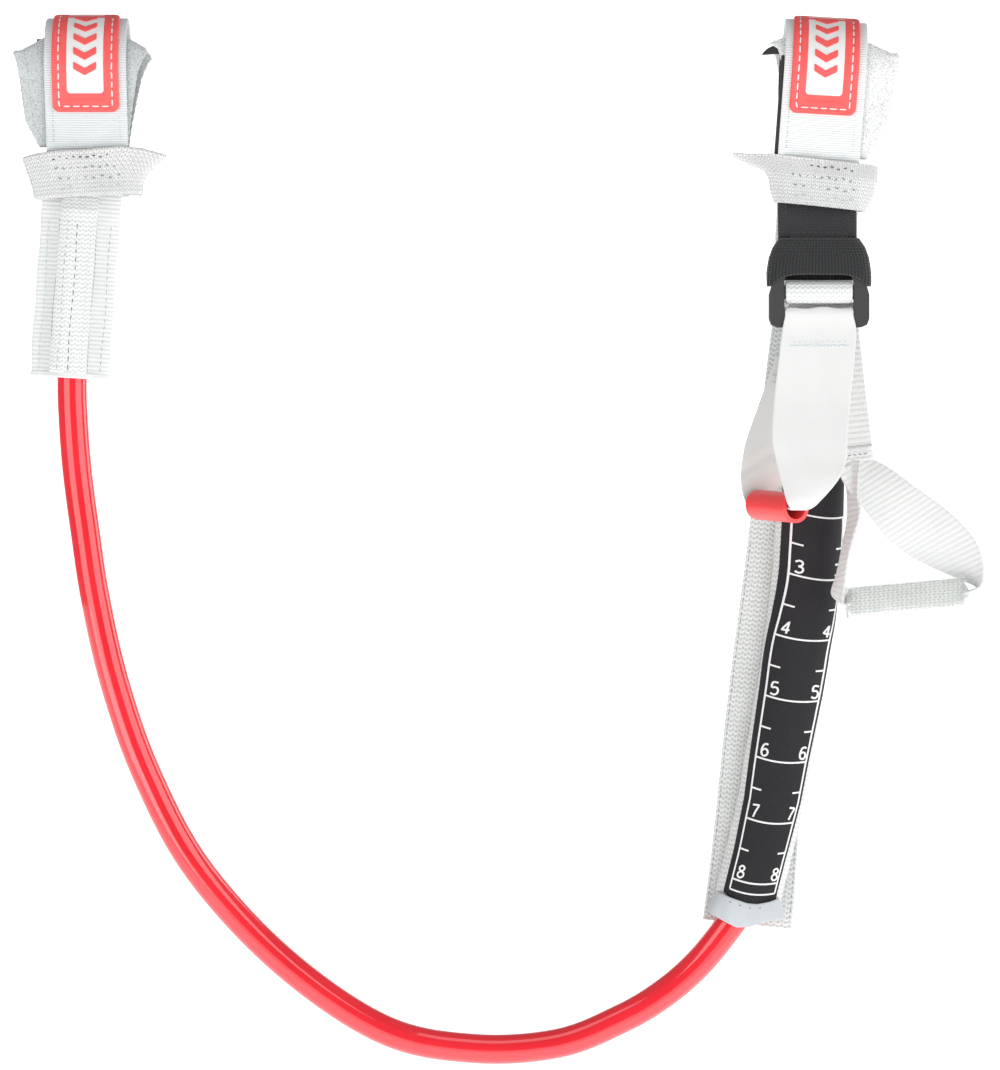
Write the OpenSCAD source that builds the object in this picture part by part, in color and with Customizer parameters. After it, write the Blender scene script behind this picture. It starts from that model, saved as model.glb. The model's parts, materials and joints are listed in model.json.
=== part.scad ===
// Adjustable harness line: a tubed rope that hangs in a U between two straps that close round a boom.
// The left end is fixed. The right end slides on the tube inside a sleeve with an inch scale, and a
// webbing that turns round the bar of a cam buckle sets its length.
// X runs along the boom, Z is up, the front faces -Y. Origin: centre of the boom in the left strap.

/* [Tube and rope] */
// Outer diameter of the tube
tube_d = 12.3; // [11.5:0.1:12.4]
// Bore of the tube
bore_d = 7; // [6.8:0.1:8]
// Diameter of the rope inside the tube
rope_d = 6; // [4:0.1:6]
// Facets round the tube
tube_sides = 12; // [8:2:12]

/* [Boom straps] */
// Diameter of the boom
boom_d = 29; // [28.5:0.1:29.5]
// Thickness of the rubber liner against the boom
liner_t = 0.8; // [0.5:0.1:0.8]
// Width of the liner
liner_w = 44; // [36:1:46]
// Thickness of the looped-pile pad
pad_t = 0.9; // [0.6:0.1:0.9]
// Width of the pad at the boom
pad_w = 50; // [46:1:54]
// Width of the pad where it enters the keeper
pad_foot_w = 38; // [32:1:38]
// Width of the strap
strap_w = 33.5; // [30:0.5:34]
// Thickness of the strap
strap_t = 1.5; // [1.2:0.1:1.5]
// Thickness of the hook patch under the flap
hook_t = 0.5; // [0.3:0.1:0.5]
// Width of the rubber badge
badge_w = 27.2; // [24:0.2:30]
// Thickness of the rubber badge
badge_t = 1.6; // [1:0.1:2]
// Depth below the boom that the badge reaches
badge_drop = 20.5; // [16:0.5:24]
// Width of the panel set on the badge
inlay_w = 15; // [10:0.5:18]
// Width of a keeper band
keeper_w = 43; // [42:1:46]
// Height of a keeper band
keeper_h = 18.4; // [14:0.2:18.4]

/* [Fixed sleeve] */
// Width of the folded webbing sleeve
sleeve_w = 31; // [28:0.5:32]
// Length of the part that holds the tube
sleeve_len = 68; // [50:1:70]
// Lean of the sleeve from upright, in degrees
sleeve_lean = 3.5; // [3.5:0.1:3.6]

/* [Scale sleeve] */
// Width of the sleeve that slides on the tube
pocket_w = 34; // [33.5:0.5:35]
// Length of the sleeve below the buckle
pocket_len = 244; // [235:1:244]
// Width of the scale label
label_w = 26; // [20:1:26]
// Distance from one mark to the next
mark_step = 25.4; // [25:0.1:26]
// Number of numbered marks
mark_count = 7; // [5:1:7]

/* [Buckle and pull] */
// Width of the buckle frame
buckle_w = 41; // [41:0.5:43]
// Diameter of the bar that grips the webbing
grip_bar_d = 5.8; // [5:0.1:5.8]
// Width of the adjusting webbing
web_w = 25.4; // [22:0.2:26]
// Thickness of the adjusting webbing
web_t = 1.2; // [0.8:0.1:1.3]
// Length of the release tube on the ribbon
release_len = 28; // [24:1:28]
// Length of the clear grip on the pull loop
grip_len = 50; // [44:1:50]
// Outer diameter of the clear grip
grip_d = 14.4; // [13.5:0.1:14.4]

/* [Hidden] */
$fn = 64;

// Radii of the layers round the boom, from the inside out
boom_r = boom_d / 2;
pad_r = boom_r + liner_t;
hook_r = pad_r + pad_t + 0.25;
strap_r = hook_r + hook_t;
badge_r = strap_r + strap_t;
inlay_r = badge_r + badge_t;
// Half the gap between the straps where they reach the keeper
foot_y = 4.05;
// Angle round the boom, from the back over the top, where the liner and the pad end
pad_open = 130;
liner_open = 126;
// Depth of the strap feet below the boom on the fixed and on the adjustable side
fixed_foot = 35;
adjust_foot = 38;
// Place and lean of the adjustable strap
adjust_at = [301.5, 0, -1];
adjust_lean = 3.3;
adjust_pad_shift = 2;

// The fixed sleeve hangs from this point, the scale sleeve from the next one
sleeve_at = [-2.1, 0, -54.7];
pocket_at = [299.3, 9, -97];
pocket_lean = 6.7;
pocket_wall = 1.2;
pocket_depth = 14.4;
pocket_mouth = 258;
cuff_t = 1;

// Route of the tube and the rope, from inside the fixed sleeve to inside the scale sleeve
route = [
    [-2.5, 0, -62], [-3.7, 0, -80], [-4.9, 0, -100], [-6.1, 0, -120], [-6.5, 0, -134],
    [-5.8, 0, -150], [-4.3, 0, -168], [-1.4, 0, -190], [3, 0, -219], [11, 0, -254],
    [24, 0, -291], [45, 0, -330], [80, 0, -368], [121, 1, -396], [158, 2.6, -404],
    [193, 4.6, -402], [219, 6.4, -392], [236, 7.8, -382], [250, 8.7, -370],
    [262, 9, -355.5], [270, 9, -343.5], [276, 9, -329.5], [279, 9, -315.5],
    [281.5, 9, -294], [284, 9, -273], [287, 9, -247]
];
route_steps = 2;

// The buckle turns about its top bar, the release ribbon about its lowest bar
buckle_at = [299.3, -6, -76];
grip_bar_z = -18;
low_bar_z = -28;
top_bar_r = 2;
low_bar_r = 1.9;
slot_half_w = 14.2;
black_loop_w = 24;

// Far end of the release tube, and the direction in which it comes forward
release_at = [274.4, -7, -180.9];
release_tilt = 93;
release_turn = -59;
release_d = 12.3;
release_bore_d = 9.2;
release_dir = [
    sin(release_tilt) * cos(release_turn), sin(release_tilt) * sin(release_turn), cos(release_tilt)
];
release_side = [-sin(release_turn), cos(release_turn), 0];

// The tail webbing leaves the buckle here and leans to the right
tail_at = [302.1, -1.3, -99.3];
tail_lean = -6.55;
tail_len = 58.5;
// Left end and tilt of the clear grip on the pull loop
grip_at = [310, -8, -220.8];
grip_tilt = 84.9;
grip_bore_d = 12;
grip_dir = [sin(grip_tilt), 0, cos(grip_tilt)];

// ---- Shapes that repeat ----

function unit(v) = v / norm(v);

// A point between p1 and p2 on the smooth curve that also passes p0 and p3
function between(p0, p1, p2, p3, t) =
    0.5 * (2 * p1 + (p2 - p0) * t + (2 * p0 - 5 * p1 + 4 * p2 - p3) * t * t
    + (3 * p1 - p0 - 3 * p2 + p3) * t * t * t);

// A smooth path through the points, with n steps from each to the next
function smooth(p, n) = [
    for (i = [0:len(p) - 2], k = [0:n - 1])
        between(p[max(i - 1, 0)], p[i], p[i + 1], p[min(i + 2, len(p) - 1)], k / n),
    p[len(p) - 1]
];

function heading(p, i) = unit(p[min(i + 1, len(p) - 1)] - p[max(i - 1, 0)]);

// A ring of points of radius r round point i of a path that lies nearly upright in X and Z
function ring(p, i, r, sides) =
    let (t = heading(p, i), u = unit(cross(t, [0, 1, 0])), v = cross(u, t))
    [for (k = [0:sides - 1]) p[i] + r * (cos(360 * k / sides) * u + sin(360 * k / sides) * v)];

// Triangles between neighbouring rings of the given number of sides, from point number first on
function skin(rings, sides, first, flip) = [
    for (i = [0:rings - 2], k = [0:sides - 1])
        let (
            a = first + i * sides + k,
            b = first + i * sides + (k + 1) % sides,
            c = a + sides,
            d = b + sides
        )
        each flip ? [[a, d, b], [a, c, d]] : [[a, b, d], [a, d, c]]
];

// A rod swept along a path
module rod(p, d, sides) {
    last = (len(p) - 1) * sides;
    polyhedron(
        [for (i = [0:len(p) - 1]) each ring(p, i, d / 2, sides)],
        concat(
            skin(len(p), sides, 0, true),
            [[for (k = [0:sides - 1]) k]],
            [[for (k = [0:sides - 1]) last + sides - 1 - k]]
        )
    );
}

// A hollow pipe swept along a path
module pipe(p, outer_d, inner_d, sides) {
    inner = len(p) * sides;
    last = (len(p) - 1) * sides;
    polyhedron(
        concat(
            [for (i = [0:len(p) - 1]) each ring(p, i, outer_d / 2, sides)],
            [for (i = [0:len(p) - 1]) each ring(p, i, inner_d / 2, sides)]
        ),
        concat(
            skin(len(p), sides, 0, true),
            skin(len(p), sides, inner, false),
            [for (k = [0:sides - 1]) let (m = (k + 1) % sides)
                each [[k, m, inner + m], [k, inner + m, inner + k]]],
            [for (k = [0:sides - 1]) let (m = (k + 1) % sides, a = last + k, b = last + m)
                each [[a, inner + b, b], [a, inner + a, inner + b]]]
        )
    );
}

// A flat band swept through stations of [centre, half-width vector]
module band(stations, t, n) {
    mids = smooth([for (s = stations) s[0]], n);
    sides = smooth([for (s = stations) s[1]], n);
    function corners(i) =
        let (h = sides[i], up = unit(cross(heading(mids, i), h)) * t / 2)
        [mids[i] - h - up, mids[i] + h - up, mids[i] + h + up, mids[i] - h + up];
    last = (len(mids) - 1) * 4;
    polyhedron(
        [for (i = [0:len(mids) - 1]) each corners(i)],
        concat(
            skin(len(mids), 4, 0, false),
            [[0, 3, 2, 1]],
            [[last, last + 1, last + 2, last + 3]]
        )
    );
}

// Turns a shape drawn in Y and Z so that its height runs along X, centred
module along_x(w) {
    rotate([90, 0, 90]) translate([0, 0, -w / 2]) children();
}

// Part of a ring round X, from angle a0 to a1, counted from the back over the top
module arc_band(r, t, w, a0, a1) {
    along_x(w) rotate([0, 0, a0]) rotate_extrude(angle = a1 - a0) translate([r, 0]) square([t, w]);
}

// Slope of a strap that leaves the boom and meets the keeper at depth foot
function fall(foot) =
    let (r = strap_r + strap_t / 2) atan2(foot, foot_y) - acos(r / norm([foot_y, foot]));

// Length of the straight part of a strap layer of radius r, down to a given depth
function limb_len(r, foot, depth) = (depth - r * sin(fall(foot))) / cos(fall(foot));

// Angles from a0 to a1, with steps on a grid that all layers share, so that their facets lie flush
function turn_steps(a0, a1) = concat([a0], [for (a = [floor(a0 / 3) * 3 + 3:3:a1 - 0.01]) a], [a1]);

function on_circle(r, a) = r * [cos(a), sin(a)];

// Outline in Y and Z of a layer that runs round the front from angle a0 and straight down to a depth.
// The points of tail lie beyond the straight part, the inner one first.
function layer_outline(r, t, foot, a0, depth, tail = []) =
    let (
        slope = fall(foot),
        turns = turn_steps(a0, 180 + slope),
        run = limb_len(r, foot, depth) * [sin(slope), -cos(slope)],
        last = len(turns) - 1
    )
    concat(
        [for (a = turns) on_circle(r, a)],
        [on_circle(r, turns[last]) + run],
        tail,
        [on_circle(r + t, turns[last]) + run],
        [for (i = [last:-1:0]) on_circle(r + t, turns[i])]
    );

module front_layer(r, t, w, foot, a0, depth, tail = []) {
    along_x(w) linear_extrude(w) polygon(layer_outline(r, t, foot, a0, depth, tail));
}

// The straight part of a strap layer, in front of the boom. It starts a little inside the arc.
module front_limb(r, t, w, foot, depth) {
    lap = 0.1;
    along_x(w) rotate([0, 0, 180 + fall(foot)]) translate([r, -lap, 0])
        cube([t, limb_len(r, foot, depth) + lap, w]);
}

module in_adjust() {
    translate(adjust_at) rotate([0, adjust_lean, 0]) children();
}

module in_sleeve() {
    translate(sleeve_at) rotate([0, sleeve_lean, 0]) children();
}

module in_pocket() {
    translate(pocket_at) rotate([0, pocket_lean, 0]) children();
}

module in_buckle() {
    translate(buckle_at) children();
}

module in_tail() {
    translate(tail_at) rotate([0, tail_lean, 0]) children();
}

// ---- Pieces of a boom strap, the same on both sides ----

module liner() {
    arc_band(boom_r, liner_t, liner_w, liner_open, 540 - liner_open);
}

module pad(foot) {
    for (side = [0, 1]) mirror([0, side, 0]) {
        arc_band(pad_r, pad_t, pad_w, pad_open, 180 + fall(foot));
        intersection() {
            front_limb(pad_r, pad_t, pad_w, foot, foot - 0.6);
            rotate([90, 0, 0]) linear_extrude(60, center = true) polygon([
                [-pad_w / 2 - 1, 5], [pad_w / 2 + 1, 5],
                [pad_foot_w / 2, -foot], [-pad_foot_w / 2, -foot]
            ]);
        }
    }
}

module back_strap(foot, tail = []) {
    mirror([0, 1, 0]) front_layer(strap_r, strap_t, strap_w, foot, 90, foot, tail);
}

module flap_strap(foot) {
    front_layer(strap_r, strap_t, strap_w, foot, 90.7, foot - 0.4);
}

module hook_patch(foot) {
    front_layer(hook_r, hook_t, strap_w - 5, foot, 150, foot - 2);
}

module badge(foot) {
    front_layer(badge_r, badge_t, badge_w, foot, 99, badge_drop);
}

module badge_inlay(foot) {
    front_layer(inlay_r, 0.25, inlay_w, foot, 112, badge_drop - 6);
}

module keeper() {
    depth = 15;
    wall = 1.5;
    difference() {
        cube([keeper_w, depth, keeper_h], center = true);
        cube([keeper_w - 2 * wall, depth - 2 * wall, keeper_h + 2], center = true);
    }
}

// ---- Line and fixed end ----

module red_tube() {
    color("#F81B28") pipe(smooth(route, route_steps), tube_d, bore_d, tube_sides);
}

module core_rope() {
    path = smooth(route, route_steps);
    color("white") rod([for (i = [3:len(path) - 3]) path[i]], rope_d, 8);
}

module fixed_end_plug() {
    color("dimgray") in_sleeve() {
        translate([0, 0, -17]) cylinder(d = bore_d - 0.4, h = 10);
        translate([0, 0, -7.2]) cylinder(d = tube_d - 0.3, h = 1.1);
    }
}

module anchor_tongue() {
    color("gainsboro") in_sleeve() translate([-7, -1, -6]) cube([14, 2, 21]);
}

module sleeve_section() {
    circle(r = 7.9);
    polygon([
        [-sleeve_w / 2, -1.7], [-5.3, -5.6], [5.3, -5.6], [sleeve_w / 2, -1.7],
        [sleeve_w / 2, 1.7], [5.3, 5.6], [-5.3, 5.6], [-sleeve_w / 2, 1.7]
    ]);
}

module fixed_sleeve() {
    color("whitesmoke") in_sleeve() difference() {
        union() {
            translate([-sleeve_w / 2, -3, -5.4]) cube([sleeve_w, 6, 22.6]);
            translate([0, 0, -5.3 - sleeve_len]) linear_extrude(sleeve_len) sleeve_section();
        }
        translate([0, 0, -8 - sleeve_len]) cylinder(d = tube_d + 0.4, h = sleeve_len + 2.05);
        translate([-7.4, -1.3, -8]) cube([14.8, 2.6, 30]);
    }
}

module sleeve_seam_tape() {
    half = 43;
    color("white") in_sleeve() translate([0, 0, -3.3 - sleeve_len]) rotate([0, 0, 270 - half])
        rotate_extrude(angle = 2 * half) translate([7.9, 0]) square([0.9, sleeve_len - 4]);
}

// Runs on through the keeper, behind the top of the sleeve
module fixed_back_strap() {
    color("gainsboro") back_strap(fixed_foot, [
        [strap_t / 2 - foot_y, -fixed_foot - 20], [-foot_y - strap_t / 2, -fixed_foot - 20]
    ]);
}

module fixed_liner() {
    color("dimgray") liner();
}

module fixed_pad() {
    color("gainsboro") pad(fixed_foot);
}

module fixed_keeper() {
    color("whitesmoke") translate([0.8, 0, -45.5]) rotate([0, -3, 0]) keeper();
}

module fixed_flap_strap() {
    color("gainsboro") flap_strap(fixed_foot);
}

module fixed_hook_patch() {
    color("silver") hook_patch(fixed_foot);
}

module fixed_badge() {
    color("#FB5F5F") badge(fixed_foot);
}

module fixed_badge_inlay() {
    color("white") badge_inlay(fixed_foot);
}

// ---- Adjustable end ----

module adjust_liner() {
    color("dimgray") in_adjust() translate([adjust_pad_shift, 0, 0]) liner();
}

module adjust_pad() {
    color("gainsboro") in_adjust() translate([adjust_pad_shift, 0, 0]) pad(adjust_foot);
}

module adjust_back_strap() {
    color("gainsboro") in_adjust() back_strap(adjust_foot);
}

module adjust_flap_strap() {
    color("gainsboro") in_adjust() flap_strap(adjust_foot);
}

module adjust_hook_patch() {
    color("silver") in_adjust() hook_patch(adjust_foot);
}

module adjust_badge() {
    color("#FB5F5F") in_adjust() badge(adjust_foot);
}

module adjust_badge_inlay() {
    color("white") in_adjust() badge_inlay(adjust_foot);
}

module adjust_keeper() {
    color("whitesmoke") translate([301.4, 0, -49.9]) rotate([0, 6, 0]) keeper();
}

// Runs from the back of the boom strap, behind the buckle, to the back of the scale sleeve
module hanger_webbing() {
    front = foot_y - strap_t / 2;
    back = foot_y + strap_t / 2;
    drop = pocket_at[2];
    color("white") translate([pocket_at[0], 0, 0]) along_x(strap_w) linear_extrude(strap_w) polygon([
        [front, -adjust_foot - 3.4], [front, -58.2], [15.75, drop + 1.8],
        [17.3, drop + 2.2], [back, -57.8], [back, -adjust_foot - 3.4]
    ]);
}

// Doubled webbing from the keeper down to the buckle, looped round its top bar
module black_webbing() {
    bend = [buckle_at[0], -0.6, -57.5];
    half = 1.5;
    wide = 31.2;
    loop_r = top_bar_r + 1.7;
    run = norm(buckle_at - bend);
    slope = atan((bend[1] - buckle_at[1]) / (bend[2] - buckle_at[2]));
    mitre = half * tan(slope / 2);
    stem = asin(half / loop_r);
    eye = [buckle_at[1], buckle_at[2]];
    turns = [for (i = [0:31]) 90 - slope + stem + (360 - 2 * stem) * i / 31];
    color("#2E2E30") difference() {
        translate([buckle_at[0], 0, 0]) along_x(wide) linear_extrude(wide) polygon(concat(
            [
                [bend[1] + half, bend[2] + 14], [bend[1] - half, bend[2] + 14],
                [bend[1] - half, bend[2] + mitre]
            ],
            [for (a = turns) eye + on_circle(loop_r, a)],
            [[bend[1] + half, bend[2] - mitre]]
        ));
        in_buckle() along_x(40) cylinder(r = top_bar_r + 0.1, h = 40);
        for (side = [0, 1]) translate(bend) mirror([side, 0, 0]) rotate([-slope, 0, 0])
            translate([black_loop_w / 2, -8, -run - 8]) cube([10, 16, run - 6]);
    }
}

module sleeve_base() {
    color("whitesmoke") in_pocket() translate([-strap_w / 2, 6.7, -pocket_mouth - 4])
        cube([strap_w, 1.6, pocket_mouth + 3.5]);
}

// The front and sides of the scale sleeve. The base webbing closes its back.
module scale_sleeve() {
    front = 6.6 - pocket_depth;
    color("whitesmoke") in_pocket() translate([0, 0, -pocket_mouth]) difference() {
        translate([-pocket_w / 2, front, 0]) cube([pocket_w, pocket_depth, pocket_len]);
        translate([pocket_wall - pocket_w / 2, front + pocket_wall, -1])
            cube([pocket_w - 2 * pocket_wall, pocket_depth, pocket_len + 2]);
    }
}

module on_label(depth) {
    front = 6.6 - pocket_depth;
    in_pocket() translate([3, front - depth, 0]) children();
}

module scale_label() {
    color("#2E2C30") on_label(0.8) translate([-label_w / 2, 0, 12.5 - pocket_mouth])
        cube([label_w, 0.8, pocket_len - 14]);
}

module scale_marks() {
    lowest = -238;
    line = 0.8;
    thick = 0.15;
    color("white") on_label(0.95) {
        for (i = [0:mark_count - 1]) translate([-9, 0, lowest + i * mark_step])
            cube([18, thick, line]);
        for (i = [0:mark_count - 2], side = [-1, 1])
            translate([side * 7.5 - 2, 0, lowest + (i + 0.5) * mark_step]) cube([4, thick, line]);
        for (side = [-1, 1]) translate([side * 11 - line / 2, 0, lowest - 4])
            cube([line, thick, (mark_count - 1) * mark_step + 16]);
    }
}

module sleeve_cuff() {
    wide = pocket_w + 0.4;
    deep = 16.5;
    color("white") in_pocket() translate([0, 0.25, -pocket_mouth - 6]) difference() {
        translate([-wide / 2 - cuff_t, -deep / 2 - cuff_t, 0])
            cube([wide + 2 * cuff_t, deep + 2 * cuff_t, 18]);
        translate([-wide / 2, -deep / 2, -1]) cube([wide, deep, 20]);
    }
}

// ---- Webbing that sets the length ----

// From the end of the tube up to the grip bar
module rising_webbing() {
    half = web_t / 2;
    color("white") in_pocket() along_x(web_w) linear_extrude(web_w) polygon([
        [-half, -147], [half, -147], [half, -24], [-8, 3], [-8 - web_t, 3], [-half, -24.4]
    ]);
}

module slide_end_plug() {
    color("dimgray") in_pocket() translate([5.3, 0, -150]) {
        translate([0, 0, -10]) cylinder(d = bore_d - 0.4, h = 10.1);
        translate([0, 0, 0.1]) cylinder(d = tube_d - 0.3, h = 1.4);
        for (side = [0, 1]) mirror([0, side, 0]) translate([-4.5, 0.7, 1.4]) cube([9, 1.1, 8.5]);
    }
}

module tail_webbing() {
    color("whitesmoke") in_tail() translate([-web_w / 2, -web_t / 2, -tail_len])
        cube([web_w, web_t, tail_len]);
}

module loop_stitch_block() {
    color("white") in_tail() translate([-web_w / 2, -1.6, -tail_len - 6.8]) cube([web_w, 2.7, 6.5]);
}

// The loop starts under the stitching, goes down to the right, through the clear grip and back up
module loop_webbing() {
    half = grip_bore_d / 2 - 0.6;
    left = grip_at;
    right = grip_at + grip_dir * grip_len;
    color("whitesmoke") band([
        [[314, -1.6, -171], [9, 0, 8.5]],
        [[326, -2, -179], [8.8, 0, 9]],
        [[338, -3.2, -189], [8.8, 0, 8.9]],
        [[349, -5, -200], [7.6, -3, 7.2]],
        [[360, -7, -206.5], [3.4, -5.2, 2.2]],
        [right + [5.2, 0.3, 3.6], [0, -half, 0.4]],
        [right + grip_dir * 1.4, [0, -half, 0]],
        [right - grip_dir * 4, [0, -half * 0.8, -half * 0.6]],
        [right - grip_dir * 10, [0, 0, -half]],
        [(left + right) / 2, [0, 0, -half]],
        [left + grip_dir * 10, [0, 0, -half]],
        [left + grip_dir * 4, [0, -half * 0.8, -half * 0.6]],
        [left - grip_dir * 1.4, [0, -half, 0]],
        [left + [-4.1, 0, 3.4], [0, -half, 0]],
        [[307.7, -8, -211], [0.5, -half, 0]],
        [[310.4, -7.6, -199], [1, -half, 0]],
        [[312.6, -6.6, -188], [1.8, -half + 0.6, 0]],
        [[314.4, -5, -177], [3.8, -1.6, 0]]
    ], web_t, 3);
}

module clear_grip() {
    color("lightgray", 0.6) translate(grip_at) rotate([0, grip_tilt, 0]) difference() {
        cylinder(d = grip_d, h = grip_len);
        translate([0, 0, -1]) cylinder(d = grip_bore_d, h = grip_len + 2);
    }
}

// ---- Buckle and its release ----

module buckle_frame() {
    half = buckle_w / 2;
    color("#434346") in_buckle() {
        for (side = [0, 1]) mirror([side, 0, 0])
            translate([0, 3, 0]) rotate([90, 0, 0]) linear_extrude(6) polygon([
                [12.3, 3], [14.7, 3], [18.9, -12], [19.6, -16], [half, -19], [half, -29],
                [half - 0.9, -31.4], [half - 3.2, -32.4], [slot_half_w, -32.4],
                [slot_half_w, -13], [12.3, -10]
            ]);
        along_x(26) cylinder(r = top_bar_r, h = 26);
        translate([0, 0, grip_bar_z]) along_x(32) cylinder(d = grip_bar_d, h = 32);
        translate([0, 0, low_bar_z]) along_x(32) cylinder(r = low_bar_r, h = 32);
    }
}

// The stretch of the adjusting webbing that turns over the grip bar
module bar_webbing() {
    color("white") in_buckle() translate([0, 0, grip_bar_z])
        arc_band(grip_bar_d / 2 + 0.1, 1.6, 2 * slot_half_w - 1, 60, 285);
}

// The hollow is drawn three times, so that it runs out of both ends of the cover
module elastic_cover() {
    module outline(inset) {
        polygon([
            [15.9 - inset, 4.1], [20.6 - inset, -12], [20.9 - inset, -13.1],
            [inset - 20.9, -13.1], [inset - 20.6, -12], [inset - 15.9, 4.1]
        ]);
    }
    color("#343436") in_buckle() intersection() {
        difference() {
            rotate([90, 0, 0]) linear_extrude(9.6, center = true) outline(0);
            rotate([90, 0, 0]) linear_extrude(7.6, center = true)
                for (shift = [-1, 0, 1]) translate([0, shift]) outline(1);
        }
        translate([0, 0, -4.5]) cube([60, 20, 17], center = true);
    }
}

module release_ribbon() {
    reach = release_dir * release_len;
    near = release_at + reach;
    tight = release_side * (release_bore_d / 2 - 0.5);
    bar = buckle_at + [0, 0, low_bar_z];
    wrap_r = low_bar_r + 0.6;
    over_bar = [
        for (a = [180:-30:0]) [bar + wrap_r * [0, cos(a), sin(a)], [13.6, 0, 0]]
    ];
    color("whitesmoke") band(concat(
        [
            [release_at + reach * 0.5, tight],
            [near, tight],
            [near + release_dir * 3, tight],
            [[291, -35.2, -179.6], [7, 1, 0]],
            [[294.2, -31.6, -171], [11.3, 0, 0]],
            [[295, -28, -163], [14, 0, 0]],
            [[294.6, -24.4, -153.5], [15.3, 0, 0]],
            [[296.4, -18.4, -138], [15.4, 0, 0]],
            [[298.2, -13.4, -121], [15.3, 0, 0]],
            [[299.2, -9.9, -110], [14.4, 0, 0]]
        ],
        over_bar,
        [
            [[298.6, -4.2, -109], [13.2, 0, 0]],
            [[296, -5, -116], [12.4, 0, 0]],
            [[291, -5.5, -128], [11.6, 0, 0]],
            [[286.6, -5.6, -142], [12, 0, 0]],
            [[282.4, -5.6, -156], [12.4, 0, 0]],
            [[277.6, -4.8, -170], [9.6, 1, 0]],
            [[273.6, -3.2, -176.5], [5.6, 2.6, 0]],
            [release_at - release_dir * 3 - [0, 0, 0.2], tight],
            [release_at + release_dir, tight],
            [release_at + reach * 0.44, tight]
        ]
    ), 0.8, 2);
}

module release_tube() {
    color("#FF5C5E") translate(release_at) rotate([0, release_tilt, release_turn]) difference() {
        cylinder(d = release_d, h = release_len);
        translate([0, 0, -1]) cylinder(d = release_bore_d, h = release_len + 2);
    }
}

red_tube();
core_rope();
fixed_end_plug();
slide_end_plug();
anchor_tongue();
fixed_sleeve();
sleeve_seam_tape();
fixed_back_strap();
fixed_liner();
fixed_pad();
fixed_keeper();
rising_webbing();
fixed_flap_strap();
fixed_badge();
fixed_badge_inlay();
fixed_hook_patch();
adjust_liner();
adjust_pad();
adjust_back_strap();
adjust_keeper();
hanger_webbing();
black_webbing();
sleeve_base();
scale_sleeve();
scale_label();
scale_marks();
sleeve_cuff();
adjust_flap_strap();
adjust_badge();
adjust_badge_inlay();
adjust_hook_patch();
buckle_frame();
bar_webbing();
elastic_cover();
release_ribbon();
release_tube();
tail_webbing();
loop_stitch_block();
loop_webbing();
clear_grip();
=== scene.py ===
"""Looks of the adjustable harness line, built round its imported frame.

Shapes are in millimetres, and make() scales them.
"""

import json
import math

import bpy
import numpy as np
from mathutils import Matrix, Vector


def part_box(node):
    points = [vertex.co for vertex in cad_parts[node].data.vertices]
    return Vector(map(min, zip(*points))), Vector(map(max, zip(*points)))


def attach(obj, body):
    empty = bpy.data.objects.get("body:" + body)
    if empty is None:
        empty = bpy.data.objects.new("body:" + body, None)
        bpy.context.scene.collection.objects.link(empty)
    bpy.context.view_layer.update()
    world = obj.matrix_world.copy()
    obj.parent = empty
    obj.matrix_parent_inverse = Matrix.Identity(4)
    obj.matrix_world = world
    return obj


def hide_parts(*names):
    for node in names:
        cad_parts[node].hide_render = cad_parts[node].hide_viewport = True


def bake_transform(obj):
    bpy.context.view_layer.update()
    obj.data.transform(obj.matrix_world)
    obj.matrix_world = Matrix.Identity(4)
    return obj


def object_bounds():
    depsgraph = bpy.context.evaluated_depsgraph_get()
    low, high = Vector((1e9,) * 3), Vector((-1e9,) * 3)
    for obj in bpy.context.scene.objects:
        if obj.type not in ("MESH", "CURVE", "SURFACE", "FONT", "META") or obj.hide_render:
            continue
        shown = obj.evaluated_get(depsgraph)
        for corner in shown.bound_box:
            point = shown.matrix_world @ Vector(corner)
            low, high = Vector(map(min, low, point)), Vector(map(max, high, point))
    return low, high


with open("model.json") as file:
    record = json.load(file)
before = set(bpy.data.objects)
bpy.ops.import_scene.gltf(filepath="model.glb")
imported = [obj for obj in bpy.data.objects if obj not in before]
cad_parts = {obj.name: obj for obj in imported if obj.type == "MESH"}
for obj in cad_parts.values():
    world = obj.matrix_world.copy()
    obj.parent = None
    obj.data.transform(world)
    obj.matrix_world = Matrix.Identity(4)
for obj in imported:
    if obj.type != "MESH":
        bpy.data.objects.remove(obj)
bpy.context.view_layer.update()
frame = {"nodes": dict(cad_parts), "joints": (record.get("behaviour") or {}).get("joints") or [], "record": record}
SEED = 11
WHITE = "webbing_white"
rng = np.random.default_rng(SEED)
scene = bpy.context.scene
joints = {j["name"]: j for j in frame["joints"]}
mounts = {m["name"]: m for m in frame["record"]["mounts"]}


# ---- Camera, light and backdrop ----

centre_x, centre_z = 0.1689, -0.1933
CAMERA_AWAY = 2.437
camera_data = bpy.data.cameras.new("camera")
camera_data.lens = 200
camera_data.sensor_width = 36
camera_data.clip_end = 50
camera = bpy.data.objects.new("camera", camera_data)
camera.location = (centre_x, -CAMERA_AWAY, centre_z)
camera.rotation_euler = (math.radians(90), 0, 0)
scene.collection.objects.link(camera)
scene.camera = camera


def lamp(name, place, aim, size, watts):
    data = bpy.data.lights.new(name, "AREA")
    data.shape = "RECTANGLE"
    data.size, data.size_y = size
    data.energy = watts
    lamp_object = bpy.data.objects.new(name, data)
    lamp_object.location = place
    lamp_object.rotation_euler = (Vector(aim) - Vector(place)).to_track_quat("-Z", "Y").to_euler()
    scene.collection.objects.link(lamp_object)


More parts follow.
